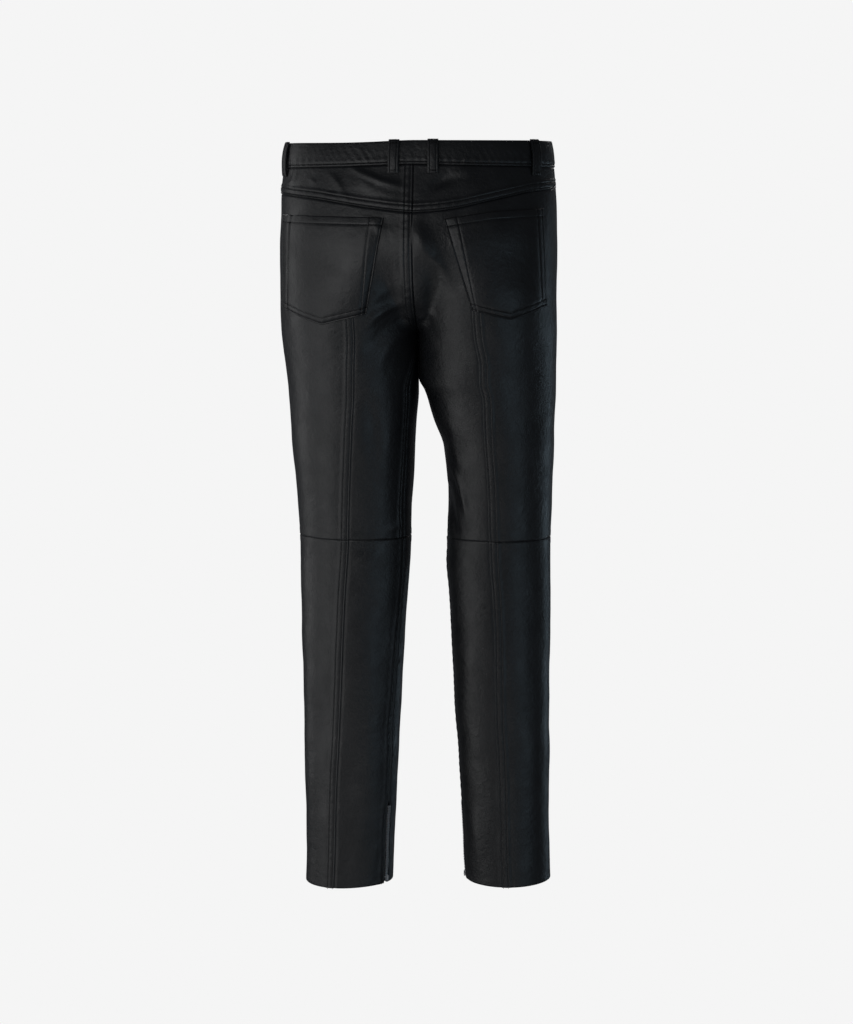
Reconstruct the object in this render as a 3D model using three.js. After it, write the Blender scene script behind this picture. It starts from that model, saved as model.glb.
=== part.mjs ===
// Black leather trousers, filled out and hollow, as a wearer's waist would hold them.
// Millimetres. +Z is up, the front faces -Y and the wearer's left is +X.
// The origin is the middle of the waist, half way up the waistband at the sides.
import * as THREE from 'three';

// Driving sizes.
const WALL = 1.6; // leather with its backing
const SEAM_GAP = 0.3; // between two pieces at a seam
const POCKET_WALL = 1.6;
const KNEE_Z = -533; // the seam across each leg
const CROTCH_Z = -242;
const SEAT_Z = -110; // above this level the two sides share one oval behind
const FRONT_SEAT_Z = -158; // and above this one in front, where the rise is straighter
const SEAT_SQUARENESS = 2.4; // 2 is a plain oval
const BACK_SEAM_TURN = 24; // degrees from the centre back to the back leg seam, at the seat
const CROTCH_REACH = 0.16; // share of a ring, each side of the crotch seam, that follows its curve
const BAND_PROUD = 0.8; // the waistband's face stands out from the panels below it
const BAND_OVERLAP = 18; // the left end passes the centre front by this much
const POCKET_CLEARANCE = 0.9; // clears the flat facets of the panels under a pocket
const LOOP_WIDTH = 14.5;
const LOOP_WALL = 2.4;
const LOOP_CLEARANCE = 0.45; // from the piece that each end is sewn to
const LOOP_TOP_RISE = 1.5; // above the waistband's edge
const LOOP_DROP = 12.5; // below the waistband's seam
const LOOP_BULGE = 3.2;
const BUTTON_RADIUS = 8.5;
const BUTTON_THICKNESS = 3.4;
const FLY_LENGTH = 135;
const FLY_WIDTH = 38;
const FLY_DEPTH = 2.6; // from the inside of the fronts back to the shield
const FLY_ZIP_LENGTH = 122;
const FLY_ZIP_WIDTH = 7;
const FLY_ZIP_WALL = 1.5;
const ZIP_LENGTH = 118; // the closed zip at the foot of each inseam
const ZIP_WIDTH = 5.4;
const ZIP_WALL = 1.8;
const ZIP_PROUD = 0.2;
const SLIDER = { width: 7.5, length: 9, thickness: 3 };

// Rings of the seat: height, half width on the wearer's left and right, depth behind and in front.
const SEAT_RINGS = [
  { z: 27, left: 184.8, right: 184.2, back: 91, front: 85 },
  { z: 4, left: 187.4, right: 187.0, back: 96, front: 89 },
  { z: -13, left: 189.0, right: 188.2, back: 100, front: 91 },
  { z: -45, left: 192.2, right: 190.9, back: 109, front: 94 },
  { z: -80, left: 193.5, right: 193.0, back: 118, front: 96 },
  { z: -115, left: 195.0, right: 193.4, back: 124, front: 97 },
  { z: -170, left: 194.6, right: 192.8, back: 123, front: 95 },
  { z: -208, left: 193.0, right: 192.8, back: 115, front: 92 },
  { z: -242, left: 192.2, right: 193.8, back: 104, front: 88 },
];

// Rings of each leg: height, outer and inner edge from the middle plane, depth behind and in
// front, and the places of the inseam and the back seam in degrees round from the inner edge.
// The first two rows carry the leg's form up into the seat, where the two are blended.
const LEFT_LEG = [
  { z: -110, outer: 195.0, inner: 0.2, back: 125, front: 97, inseam: 0, backSeam: 84 },
  { z: -180, outer: 194.3, inner: 0.2, back: 118, front: 94, inseam: 0, backSeam: 84 },
  { z: -242, outer: 192.3, inner: 0.2, back: 104, front: 88, inseam: 0, backSeam: 84 },
  { z: -285, outer: 188.6, inner: 0.2, back: 96, front: 88, inseam: 16, backSeam: 86 },
  { z: -325, outer: 184.5, inner: 0.2, back: 88, front: 86, inseam: 26, backSeam: 88 },
  { z: -367, outer: 182.3, inner: 3.4, back: 82, front: 83, inseam: 25, backSeam: 89.5 },
  { z: -409, outer: 179.8, inner: 6.0, back: 77, front: 80, inseam: 25, backSeam: 91 },
  { z: -451, outer: 176.5, inner: 8.0, back: 71, front: 76, inseam: 26, backSeam: 93 },
  { z: -493, outer: 172.7, inner: 10.7, back: 64, front: 70, inseam: 26, backSeam: 95 },
  { z: -542, outer: 170.0, inner: 11.9, back: 58, front: 63, inseam: 24, backSeam: 97 },
  { z: -609, outer: 169.3, inner: 16.0, back: 56, front: 59, inseam: 23, backSeam: 99.5 },
  { z: -676, outer: 167.6, inner: 20.5, back: 56, front: 56, inseam: 26, backSeam: 101.5 },
  { z: -743, outer: 166.4, inner: 23.6, back: 54, front: 53, inseam: 29, backSeam: 103.5 },
  { z: -805, outer: 165.5, inner: 27.3, back: 51, front: 50, inseam: 31, backSeam: 105.5 },
  { z: -851, outer: 165.4, inner: 29.8, back: 49, front: 48, inseam: 30, backSeam: 107 },
  { z: -927, outer: 164.7, inner: 33.7, back: 46, front: 47, inseam: 30, backSeam: 109.5 },
  { z: -1003, outer: 164.1, inner: 36.9, back: 45, front: 47, inseam: 30, backSeam: 111 },
  { z: -1046, outer: 164.8, inner: 39.2, back: 45, front: 48, inseam: 30, backSeam: 111.5 },
];
const RIGHT_LEG = [
  { z: -110, outer: 193.4, inner: 0.2, back: 125, front: 97, inseam: 0, backSeam: 84 },
  { z: -180, outer: 192.8, inner: 0.2, back: 118, front: 94, inseam: 0, backSeam: 84 },
  { z: -242, outer: 193.5, inner: 0.2, back: 104, front: 88, inseam: 0, backSeam: 86 },
  { z: -285, outer: 193.4, inner: 0.2, back: 96, front: 88, inseam: 0, backSeam: 90 },
  { z: -308, outer: 193.1, inner: 0.3, back: 91, front: 87, inseam: -1, backSeam: 90 },
  { z: -324, outer: 192.8, inner: 7.6, back: 88, front: 86, inseam: -1, backSeam: 90 },
  { z: -365, outer: 191.8, inner: 20.3, back: 82, front: 83, inseam: -2, backSeam: 87.5 },
  { z: -406, outer: 190.8, inner: 36.4, back: 76, front: 80, inseam: -3, backSeam: 83 },
  { z: -450, outer: 190.1, inner: 39.8, back: 70, front: 76, inseam: -3, backSeam: 84 },
  { z: -491, outer: 188.3, inner: 41.2, back: 64, front: 70, inseam: -3, backSeam: 85 },
  { z: -540, outer: 186.4, inner: 40.8, back: 58, front: 63, inseam: -3, backSeam: 87 },
  { z: -569, outer: 186.9, inner: 39.6, back: 57, front: 61, inseam: -3, backSeam: 88 },
  { z: -606, outer: 187.7, inner: 42.3, back: 56, front: 59, inseam: -3, backSeam: 89 },
  { z: -673, outer: 186.6, inner: 47.1, back: 56, front: 56, inseam: -3, backSeam: 90 },
  { z: -740, outer: 186.8, inner: 50.0, back: 54, front: 53, inseam: -3, backSeam: 89.5 },
  { z: -802, outer: 186.9, inner: 53.4, back: 51, front: 50, inseam: -3, backSeam: 89 },
  { z: -847, outer: 187.9, inner: 57.9, back: 49, front: 48, inseam: -3, backSeam: 89 },
  { z: -922, outer: 187.9, inner: 62.0, back: 46, front: 47, inseam: -3, backSeam: 89 },
  { z: -998, outer: 188.9, inner: 65.6, back: 45, front: 47, inseam: -3, backSeam: 88.5 },
  { z: -1040, outer: 190.1, inner: 69.6, back: 45, front: 48, inseam: -3, backSeam: 88 },
];

// Edges of the waistband by place round the ring: 0 centre back, 0.5 side, 1 centre front.
const WAISTBAND = {
  left: [
    { u: 0, top: 25.2, seam: -6.6 },
    { u: 0.25, top: 21.7, seam: -10.0 },
    { u: 0.5, top: 19.6, seam: -15.0 },
    { u: 0.75, top: 10.0, seam: -24.0 },
    { u: 1, top: 5.0, seam: -29.0 },
  ],
  right: [
    { u: 0, top: 25.2, seam: -6.6 },
    { u: 0.25, top: 25.0, seam: -8.6 },
    { u: 0.5, top: 23.0, seam: -13.0 },
    { u: 0.75, top: 12.0, seam: -22.5 },
    { u: 1, top: 5.0, seam: -29.0 },
  ],
};

// Lower edge of the yokes by distance from the middle plane.
const YOKE_SEAM = [
  { x: 0, left: -72.0, right: -72.0 },
  { x: 30, left: -69.3, right: -70.0 },
  { x: 60, left: -65.5, right: -66.0 },
  { x: 95, left: -60.5, right: -58.5 },
  { x: 130, left: -55.2, right: -51.0 },
  { x: 165, left: -51.8, right: -44.0 },
  { x: 195, left: -49.5, right: -41.0 },
];

// Corners of the back pockets: distance from the middle plane, and height.
const POCKETS = {
  left: {
    innerTop: { x: 38.4, z: -79.5 }, middleTop: { x: 112, z: -78.6 }, outerTop: { x: 183.5, z: -77.6 },
    innerFoot: { x: 64.4, z: -210.5 }, tip: { x: 125.4, z: -226.0 }, outerFoot: { x: 184.0, z: -207.0 },
  },
  right: {
    innerTop: { x: 43.2, z: -81.0 }, middleTop: { x: 110, z: -71.5 }, outerTop: { x: 174.0, z: -68.5 },
    innerFoot: { x: 81.2, z: -204.5 }, tip: { x: 133.8, z: -218.2 }, outerFoot: { x: 181.0, z: -200.5 },
  },
};

// Hems: height at the inner and at the outer edge of the leg, and how much lower the back hangs.
const HEMS = {
  left: { inner: -1037.0, outer: -1041.5, backDrop: 2.8 },
  right: { inner: -1033.5, outer: -1031.5, backDrop: 3.0 },
};

// The largest folds: from and to a place (distance from the middle plane, height) on the back or
// the front of one side, half their width, and how far the leather stands out there.
const FOLDS = [
  { side: 'left', face: 'back', x0: 88, z0: -15, x1: 18, z1: -36, spread: 9, out: 3.2 },
  { side: 'left', face: 'back', x0: 95, z0: -34, x1: 40, z1: -52, spread: 10, out: -2.4 },
  { side: 'left', face: 'back', x0: 122, z0: -22, x1: 100, z1: -52, spread: 9, out: 2.0 },
  { side: 'right', face: 'back', x0: 66, z0: -22, x1: 24, z1: -46, spread: 11, out: -2.8 },
  { side: 'right', face: 'back', x0: 5, z0: -84, x1: 24, z1: -134, spread: 9, out: 4.0 },
  { side: 'right', face: 'back', x0: 24, z0: -134, x1: 46, z1: -172, spread: 10, out: 3.4 },
  { side: 'right', face: 'back', x0: 36, z0: -100, x1: 44, z1: -150, spread: 10, out: -3.0 },
  { side: 'right', face: 'back', x0: 12, z0: -196, x1: 34, z1: -226, spread: 8, out: 3.0 },
  { side: 'left', face: 'back', x0: 18, z0: -198, x1: 62, z1: -224, spread: 8, out: 3.2 },
  { side: 'left', face: 'back', x0: 14, z0: -222, x1: 60, z1: -262, spread: 12, out: -2.6 },
  { side: 'left', face: 'back', x0: 40, z0: -300, x1: 46, z1: -500, spread: 16, out: 2.2 },
  { side: 'right', face: 'back', x0: 50, z0: -428, x1: 70, z1: -496, spread: 11, out: 3.6 },
  { side: 'right', face: 'back', x0: 44, z0: -470, x1: 52, z1: -520, spread: 9, out: -2.6 },
  { side: 'left', face: 'front', x0: 10, z0: -212, x1: 70, z1: -176, spread: 12, out: 3.4 },
  { side: 'right', face: 'front', x0: 12, z0: -206, x1: 78, z1: -184, spread: 12, out: 3.2 },
  { side: 'left', face: 'front', x0: 20, z0: -236, x1: 96, z1: -226, spread: 11, out: 2.8 },
  { side: 'right', face: 'front', x0: 18, z0: -238, x1: 84, z1: -246, spread: 11, out: 2.6 },
  { side: 'left', face: 'front', x0: 60, z0: -500, x1: 128, z1: -516, spread: 10, out: 1.8 },
  { side: 'right', face: 'front', x0: 70, z0: -506, x1: 142, z1: -496, spread: 10, out: 1.8 },
];

const DEGREE = Math.PI / 180;
const SIDES = ['left', 'right'];
const LEGS = { left: LEFT_LEG, right: RIGHT_LEG };

function smooth(t) {
  const s = Math.min(1, Math.max(0, t));
  return s * s * (3 - 2 * s);
}

// Reads a column of a table at any place along another, smoothly and with no overshoot.
function read(table, along, column, at) {
  const up = table[0][along] < table[table.length - 1][along];
  const rows = up ? table : [...table].reverse();
  const last = rows.length - 1;
  if (at <= rows[0][along]) return rows[0][column];
  if (at >= rows[last][along]) return rows[last][column];
  const slopes = rows.slice(1).map((row, i) => (
    (row[column] - rows[i][column]) / (row[along] - rows[i][along])));
  const tangent = (i) => {
    if (i === 0) return slopes[0];
    if (i === last) return slopes[last - 1];
    const product = slopes[i - 1] * slopes[i];
    return product <= 0 ? 0 : (2 * product) / (slopes[i - 1] + slopes[i]);
  };
  let i = 0;
  while (at > rows[i + 1][along]) i += 1;
  const step = rows[i + 1][along] - rows[i][along];
  const t = (at - rows[i][along]) / step;
  const rise = rows[i + 1][column] - rows[i][column];
  const startBend = tangent(i) * step - rise;
  const endBend = rise - tangent(i + 1) * step;
  return rows[i][column] + t * rise + t * (1 - t) * ((1 - t) * startBend + t * endBend);
}

function power(value, exponent) {
  return Math.sign(value) * Math.abs(value) ** exponent;
}

// A point of the seat's oval, for one side, with x outwards from the middle plane.
function seatPoint(side, u, z) {
  const turn = u < 0.5
    ? read([{ u: 0, a: 0 }, { u: 0.25, a: BACK_SEAM_TURN }, { u: 0.5, a: 90 }], 'u', 'a', u)
    : 90 + 180 * (u - 0.5);
  const exponent = 2 / SEAT_SQUARENESS;
  const depth = read(SEAT_RINGS, 'z', turn < 90 ? 'back' : 'front', z);
  const x = read(SEAT_RINGS, 'z', side, z) * power(Math.sin(turn * DEGREE), exponent);
  return new THREE.Vector3(x, depth * power(Math.cos(turn * DEGREE), exponent), z);
}

// A point of a leg's ring. It starts at the inseam and goes round the back and the front.
function legPoint(side, u, z) {
  const table = LEGS[side];
  const get = (column) => read(table, 'z', column, z);
  const inseam = get('inseam');
  const marks = [
    { u: 0, a: inseam }, { u: 0.25, a: get('backSeam') }, { u: 0.5, a: 180 },
    { u: 0.75, a: 270 + inseam / 2 }, { u: 1, a: 360 + inseam },
  ];
  const turn = read(marks, 'u', 'a', u) * DEGREE;
  const outer = get('outer');
  const inner = get('inner');
  const back = get('back');
  const front = get('front');
  const x = (outer + inner) / 2 - ((outer - inner) / 2) * Math.cos(turn);
  const y = (back - front) / 2 + ((back + front) / 2) * Math.sin(turn);
  return new THREE.Vector3(x, y, z);
}

// The plain surface: seat above, legs below, joined so that the crotch seam is a round U.
function plainPoint(side, u, z) {
  const seatLevel = u < 0.5
    ? SEAT_Z
    : SEAT_Z + (FRONT_SEAT_Z - SEAT_Z) * smooth((u - 0.5) / 0.3);
  if (z >= seatLevel) return seatPoint(side, u, z);
  if (z <= CROTCH_Z) return legPoint(side, u, z);
  const rise = (z - CROTCH_Z) / (seatLevel - CROTCH_Z);
  const seamShare = Math.sqrt(rise * (2 - rise));
  const nearSeam = 1 - smooth(Math.min(u, 1 - u) / CROTCH_REACH);
  const share = seamShare * nearSeam + smooth(rise) * (1 - nearSeam);
  return legPoint(side, u, z).lerp(seatPoint(side, u, z), share);
}

// How far the folds move the leather out at a point of the plain surface.
function foldHeight(side, face, point) {
  let height = 0;
  for (const fold of FOLDS) {
    if (fold.side !== side || fold.face !== face) continue;
    const dx = fold.x1 - fold.x0;
    const dz = fold.z1 - fold.z0;
    const along = ((point.x - fold.x0) * dx + (point.z - fold.z0) * dz) / (dx * dx + dz * dz);
    const t = Math.min(1, Math.max(0, along));
    const away = Math.hypot(point.x - fold.x0 - t * dx, point.z - fold.z0 - t * dz);
    const taper = 0.35 + 0.65 * Math.sin(Math.PI * t);
    height += fold.out * taper * Math.exp(-((away / fold.spread) ** 2));
  }
  return height;
}

function normalOf(pointAt, u, z) {
  const du = 0.002;
  const dz = 0.5;
  const u0 = Math.max(0, u - du);
  const u1 = Math.min(1, u + du);
  const round = pointAt(u1, z).sub(pointAt(u0, z));
  const down = pointAt(u, z - dz).sub(pointAt(u, z + dz));
  return round.cross(down).normalize();
}

// A point of the leather's outer face, moved out by a distance along the surface's normal.
function leatherPoint(side, u, z, out = 0) {
  const plain = plainPoint(side, u, z);
  const normal = normalOf((a, b) => plainPoint(side, a, b), u, z);
  const face = u < 0.5 ? 'back' : 'front';
  const point = plain.clone().addScaledVector(normal, foldHeight(side, face, plain) + out);
  point.x = Math.max(point.x, SEAM_GAP / 2);
  return point;
}

function toWorld(side, point) {
  return side === 'left' ? point : new THREE.Vector3(-point.x, point.y, point.z);
}

// A closed wall between two grids of points, the first outside and the second inside.
function wallGeometry(outer, inner, mirrored) {
  const rows = outer.length;
  const columns = outer[0].length;
  const positions = [];
  for (const grid of [outer, inner]) {
    for (const row of grid) {
      for (const point of row) positions.push(point.x, point.y, point.z);
    }
  }
  const index = (layer, row, column) => layer * rows * columns + row * columns + column;
  const triangles = [];
  const quad = (a, b, c, d) => triangles.push([a, b, c], [a, c, d]);
  for (let r = 0; r < rows - 1; r += 1) {
    for (let c = 0; c < columns - 1; c += 1) {
      quad(index(0, r, c), index(0, r + 1, c), index(0, r + 1, c + 1), index(0, r, c + 1));
      quad(index(1, r, c), index(1, r, c + 1), index(1, r + 1, c + 1), index(1, r + 1, c));
    }
  }
  const endRow = rows - 1;
  const endColumn = columns - 1;
  for (let c = 0; c < endColumn; c += 1) {
    quad(index(0, 0, c), index(0, 0, c + 1), index(1, 0, c + 1), index(1, 0, c));
    quad(index(0, endRow, c), index(1, endRow, c), index(1, endRow, c + 1), index(0, endRow, c + 1));
  }
  for (let r = 0; r < endRow; r += 1) {
    quad(index(0, r, 0), index(1, r, 0), index(1, r + 1, 0), index(0, r + 1, 0));
    quad(index(0, r, endColumn), index(0, r + 1, endColumn),
      index(1, r + 1, endColumn), index(1, r, endColumn));
  }
  const indices = triangles.flatMap((t) => (mirrored ? t : [t[0], t[2], t[1]]));
  const geometry = new THREE.BufferGeometry();
  geometry.setAttribute('position', new THREE.Float32BufferAttribute(positions, 3));
  geometry.setIndex(indices);
  geometry.computeVertexNormals();
  return geometry;
}

const trousers = new THREE.Group();
trousers.name = 'leather_trousers';

function addPiece(name, geometry, colour, roughness, metalness = 0) {
  const material = new THREE.MeshStandardMaterial({ color: colour, roughness, metalness });
  const mesh = new THREE.Mesh(geometry, material);
  mesh.name = name;
  trousers.add(mesh);
}

const LEATHER_COLOUR = 0x1b1c1e;
const LEATHER_ROUGHNESS = 0.42;
const METAL_COLOUR = 0x8d8f92;

function addLeather(name, geometry) {
  addPiece(name, geometry, LEATHER_COLOUR, LEATHER_ROUGHNESS);
}

// Moves u by a distance in millimetres along the ring.
function stepAlong(side, u, z, distance) {
  const du = 0.002;
  const from = plainPoint(side, Math.max(0, u - du), z);
  const to = plainPoint(side, Math.min(1, u + du), z);
  const length = from.distanceTo(to) / (Math.min(1, u + du) - Math.max(0, u - du));
  return u + distance / length;
}

function hemHeight(side, u) {
  const { inner, outer, backDrop } = HEMS[side];
  const ring = legPoint(side, u, inner);
  const { outer: far, inner: near, back } = LEGS[side][LEGS[side].length - 1];
  const level = inner + (outer - inner) * ((ring.x - near) / (far - near));
  return level - backDrop * (ring.y / back);
}

function bandTop(side, u) {
  return read(WAISTBAND[side], 'u', 'top', u);
}

function bandSeam(side, u) {
  return read(WAISTBAND[side], 'u', 'seam', u);
}

const YOKE_LEVEL = -60; // near enough to the yoke seam to turn u into a distance
function yokeHeight(side, u) {
  return read(YOKE_SEAM, 'x', side, seatPoint(side, u, YOKE_LEVEL).x);
}

// Half the opening that a zip needs in the inseam, at a height.
function inseamInset(side, z) {
  const zipTop = HEMS[side].inner + ZIP_LENGTH;
  const inZip = smooth((zipTop + 4 - z) / 8);
  return SEAM_GAP / 2 + inZip * (ZIP_WIDTH / 2 + SEAM_GAP / 2);
}

// A panel between two places round the ring. Its rows are functions of u that give a height.
function panelGeometry(side, from, to, columns, rows) {
  const layer = (out) => rows.map((rowHeight, r) => {
    const line = [];
    for (let c = 0; c <= columns; c += 1) {
      const share = c / columns;
      const flatU = from + (to - from) * share;
      let z = rowHeight(flatU);
      if (r === 0) z -= SEAM_GAP / 2;
      if (r === rows.length - 1 && z > HEMS[side].inner + 5) z += SEAM_GAP / 2;
      const startInset = from === 0 ? inseamInset(side, z) : SEAM_GAP / 2;
      const endInset = to === 1 ? inseamInset(side, z) : SEAM_GAP / 2;
      const start = stepAlong(side, from, z, startInset);
      const end = stepAlong(side, to, z, -endInset);
      const u = start + (end - start) * share;
      const point = leatherPoint(side, u, z, out);
      const onMiddle = (c === 0 && from === 0) || (c === columns && to === 1);
      if (onMiddle && z >= CROTCH_Z) point.x = SEAM_GAP / 2;
      line.push(toWorld(side, point));
    }
    return line;
  });
  return wallGeometry(layer(0), layer(-WALL), side === 'right');
}

function level(z) {
  return () => z;
}

function between(upper, lower, share) {
  return (u) => upper(u) + (lower(u) - upper(u)) * share;
}

// Levels from the seat to the knee. They crowd together where the crotch seam turns under.
const SEAT_LEVELS = [-110, -135, -158, -178, -196, -211, -222, -231, -237, -241, -243];
const THIGH_LEVELS = [-250, -262, -280, -303, -325, -350, -380, -410, -440, -470, -500, KNEE_Z];
const CALF_LEVELS = [KNEE_Z, -565, -605, -650, -700, -755, -810, -860, -905, -940, -985];

function upperRows(top) {
  const first = level(SEAT_LEVELS[0]);
  return [
    top, between(top, first, 0.5),
    ...SEAT_LEVELS.map(level), ...THIGH_LEVELS.map(level),
  ];
}

for (const side of SIDES) {
  const bandEdge = (u) => bandSeam(side, u);
  const yokeEdge = (u) => yokeHeight(side, u);
  const hem = (u) => hemHeight(side, u);
  const zipTop = HEMS[side].inner + ZIP_LENGTH;
  const lowerRows = [
    ...CALF_LEVELS.filter((z) => Math.abs(z - zipTop) > 8).map(level),
    level(zipTop + 4), level(zipTop - 4), hem,
  ].sort((a, b) => b(0) - a(0));
  const yokeRows = [0, 0.25, 0.5, 0.75, 1].map((share) => between(bandEdge, yokeEdge, share));
  addLeather(`yoke_${side}`, panelGeometry(side, 0, 0.5, 14, yokeRows));
  addLeather(`back_inner_upper_${side}`, panelGeometry(side, 0, 0.25, 7, upperRows(yokeEdge)));
  addLeather(`back_outer_upper_${side}`, panelGeometry(side, 0.25, 0.5, 6, upperRows(yokeEdge)));
  addLeather(`front_upper_${side}`, panelGeometry(side, 0.5, 1, 13, upperRows(bandEdge)));
  addLeather(`back_inner_lower_${side}`, panelGeometry(side, 0, 0.25, 5, lowerRows));
  addLeather(`back_outer_lower_${side}`, panelGeometry(side, 0.25, 0.5, 5, lowerRows));
  addLeather(`front_lower_${side}`, panelGeometry(side, 0.5, 1, 11, lowerRows));
}

// Finds the place round the front of the ring that lies at a distance from the middle plane.
function frontPlaceAt(side, x, z) {
  let low = 0.5;
  let high = 1;
  for (let i = 0; i < 40; i += 1) {
    const middle = (low + high) / 2;
    if (plainPoint(side, middle, z).x > x) low = middle;
    else high = middle;
  }
  return (low + high) / 2;
}

// The waistband runs from its right end round the back to the left end, which passes the centre
// front. Its ends meet edge to edge at the overlap.
const BAND_COLUMNS = 62;
const BAND_ROWS = 2;
function bandGeometry() {
  const meeting = frontPlaceAt('right', BAND_OVERLAP, 0);
  const start = -stepAlong('right', meeting, 0, -SEAM_GAP / 2);
  const end = 2 - stepAlong('right', meeting, 0, SEAM_GAP / 2);
  const layer = (out) => {
    const grid = [];
    for (let r = 0; r <= BAND_ROWS; r += 1) {
      const line = [];
      for (let c = 0; c <= BAND_COLUMNS; c += 1) {
        const place = start + ((end - start) * c) / BAND_COLUMNS;
        const side = place < 0 || place > 1 ? 'right' : 'left';
        const u = place > 1 ? 2 - place : Math.abs(place);
        const top = bandTop(side, u);
        const foot = bandSeam(side, u) + SEAM_GAP / 2;
        const z = top + ((foot - top) * r) / BAND_ROWS;
        line.push(toWorld(side, leatherPoint(side, u, z, out)));
      }
      grid.push(line);
    }
    return grid;
  };
  return wallGeometry(layer(BAND_PROUD), layer(-WALL), false);
}
addLeather('waistband', bandGeometry());

// Finds the place round the back of the ring that lies at a distance from the middle plane.
function placeAt(side, x, z) {
  let low = 0;
  let high = 0.5;
  for (let i = 0; i < 40; i += 1) {
    const middle = (low + high) / 2;
    if (plainPoint(side, middle, z).x < x) low = middle;
    else high = middle;
  }
  return (low + high) / 2;
}

// A back pocket lies on the back panels. Its top runs in two stretches and its foot is pointed.
const POCKET_COLUMNS = 10;
const POCKET_ROWS = 8;
function pocketGeometry(side) {
  const p = POCKETS[side];
  const along = (a, m, b, share) => (share < 0.5
    ? { x: a.x + (m.x - a.x) * share * 2, z: a.z + (m.z - a.z) * share * 2 }
    : { x: m.x + (b.x - m.x) * (share * 2 - 1), z: m.z + (b.z - m.z) * (share * 2 - 1) });
  const layer = (out) => {
    const grid = [];
    for (let r = 0; r <= POCKET_ROWS; r += 1) {
      const line = [];
      for (let c = 0; c <= POCKET_COLUMNS; c += 1) {
        const top = along(p.innerTop, p.middleTop, p.outerTop, c / POCKET_COLUMNS);
        const foot = along(p.innerFoot, p.tip, p.outerFoot, c / POCKET_COLUMNS);
        const x = top.x + (foot.x - top.x) * (r / POCKET_ROWS);
        const z = top.z + (foot.z - top.z) * (r / POCKET_ROWS);
        line.push(toWorld(side, leatherPoint(side, placeAt(side, x, z), z, out)));
      }
      grid.push(line);
    }
    return grid;
  };
  const face = layer(POCKET_CLEARANCE + POCKET_WALL);
  return wallGeometry(face, layer(POCKET_CLEARANCE), side === 'right');
}
for (const side of SIDES) addLeather(`pocket_back_${side}`, pocketGeometry(side));

// A belt loop is a folded strap that stands off the waistband and is sewn at both ends.
const LOOPS = [
  { name: 'loop_back_left', side: 'left', x: 27.0, face: 'back' },
  { name: 'loop_back_right', side: 'right', x: 27.3, face: 'back' },
  { name: 'loop_side_left', side: 'left', x: 181.0, face: 'back' },
  { name: 'loop_side_right', side: 'right', x: 164.0, face: 'back' },
  { name: 'loop_front_left', side: 'left', x: 98, face: 'front' },
  { name: 'loop_front_right', side: 'right', x: 98, face: 'front' },
];
const LOOP_ROWS = 9;
const LOOP_COLUMNS = 2;
function loopGeometry(loop) {
  const find = loop.face === 'back' ? placeAt : frontPlaceAt;
  const centre = find(loop.side, loop.x, 0);
  const top = bandTop(loop.side, centre) + LOOP_TOP_RISE;
  const foot = bandSeam(loop.side, centre) - LOOP_DROP;
  const layer = (wall) => {
    const grid = [];
    for (let r = 0; r <= LOOP_ROWS; r += 1) {
      const t = r / LOOP_ROWS;
      const z = top + (foot - top) * t;
      const bulge = LOOP_BULGE * Math.sin(Math.PI * t) ** 0.7 + BAND_PROUD * (1 - t);
      const line = [];
      for (let c = 0; c <= LOOP_COLUMNS; c += 1) {
        const across = (c / LOOP_COLUMNS - 0.5) * LOOP_WIDTH;
        const u = stepAlong(loop.side, centre, z, across);
        line.push(toWorld(loop.side, leatherPoint(loop.side, u, z, LOOP_CLEARANCE + bulge + wall)));
      }
      grid.push(line);
    }
    return grid;
  };
  return wallGeometry(layer(LOOP_WALL), layer(0), loop.side === 'right');
}
for (const loop of LOOPS) addLeather(loop.name, loopGeometry(loop));

// The fly: a closed zip behind the centre front seam, and a shield behind the zip.
const FLY_COLUMNS = 4;
const FLY_ROWS = 6;
function flyGeometry(width, length, depth, wall) {
  const top = bandSeam('left', 1) - 1;
  const layer = (inside) => {
    const grid = [];
    for (let r = 0; r <= FLY_ROWS; r += 1) {
      const z = top - (length * r) / FLY_ROWS;
      const line = [];
      for (let c = 0; c <= FLY_COLUMNS; c += 1) {
        const x = (c / FLY_COLUMNS - 0.5) * width;
        const side = x < 0 ? 'right' : 'left';
        const front = leatherPoint(side, frontPlaceAt(side, Math.abs(x), z), z);
        line.push(new THREE.Vector3(x, front.y + WALL + inside, z));
      }
      grid.push(line);
    }
    return grid;
  };
  return wallGeometry(layer(depth), layer(depth + wall), true);
}
addLeather('fly_shield', flyGeometry(FLY_WIDTH, FLY_LENGTH, FLY_DEPTH, WALL));
const flyZip = flyGeometry(FLY_ZIP_WIDTH, FLY_ZIP_LENGTH, (FLY_DEPTH - FLY_ZIP_WALL) / 2, FLY_ZIP_WALL);
addPiece('fly_zip', flyZip, METAL_COLOUR, 0.35, 1);

// A metal button closes the waistband at the centre front.
const BUTTON_SIDES = 24;
function buttonGeometry() {
  const z = (bandTop('left', 1) + bandSeam('left', 1)) / 2;
  const centre = leatherPoint('left', 1, z, BAND_PROUD + SEAM_GAP + BUTTON_THICKNESS / 2);
  centre.x = 0;
  const normal = normalOf((a, b) => plainPoint('left', a, b), 1, z).setX(0).normalize();
  const profile = [
    [0, -0.5], [0.8, -0.5], [1, -0.3], [1, 0.3], [0.86, 0.5], [0.7, 0.34], [0, 0.34],
  ].map(([radius, height]) => new THREE.Vector2(radius * BUTTON_RADIUS, height * BUTTON_THICKNESS));
  const geometry = new THREE.LatheGeometry(profile, BUTTON_SIDES);
  const turn = new THREE.Quaternion().setFromUnitVectors(new THREE.Vector3(0, 1, 0), normal);
  geometry.applyQuaternion(turn);
  geometry.translate(centre.x, centre.y, centre.z);
  return geometry;
}
addPiece('waist_button', buttonGeometry(), METAL_COLOUR, 0.3, 1);

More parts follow.
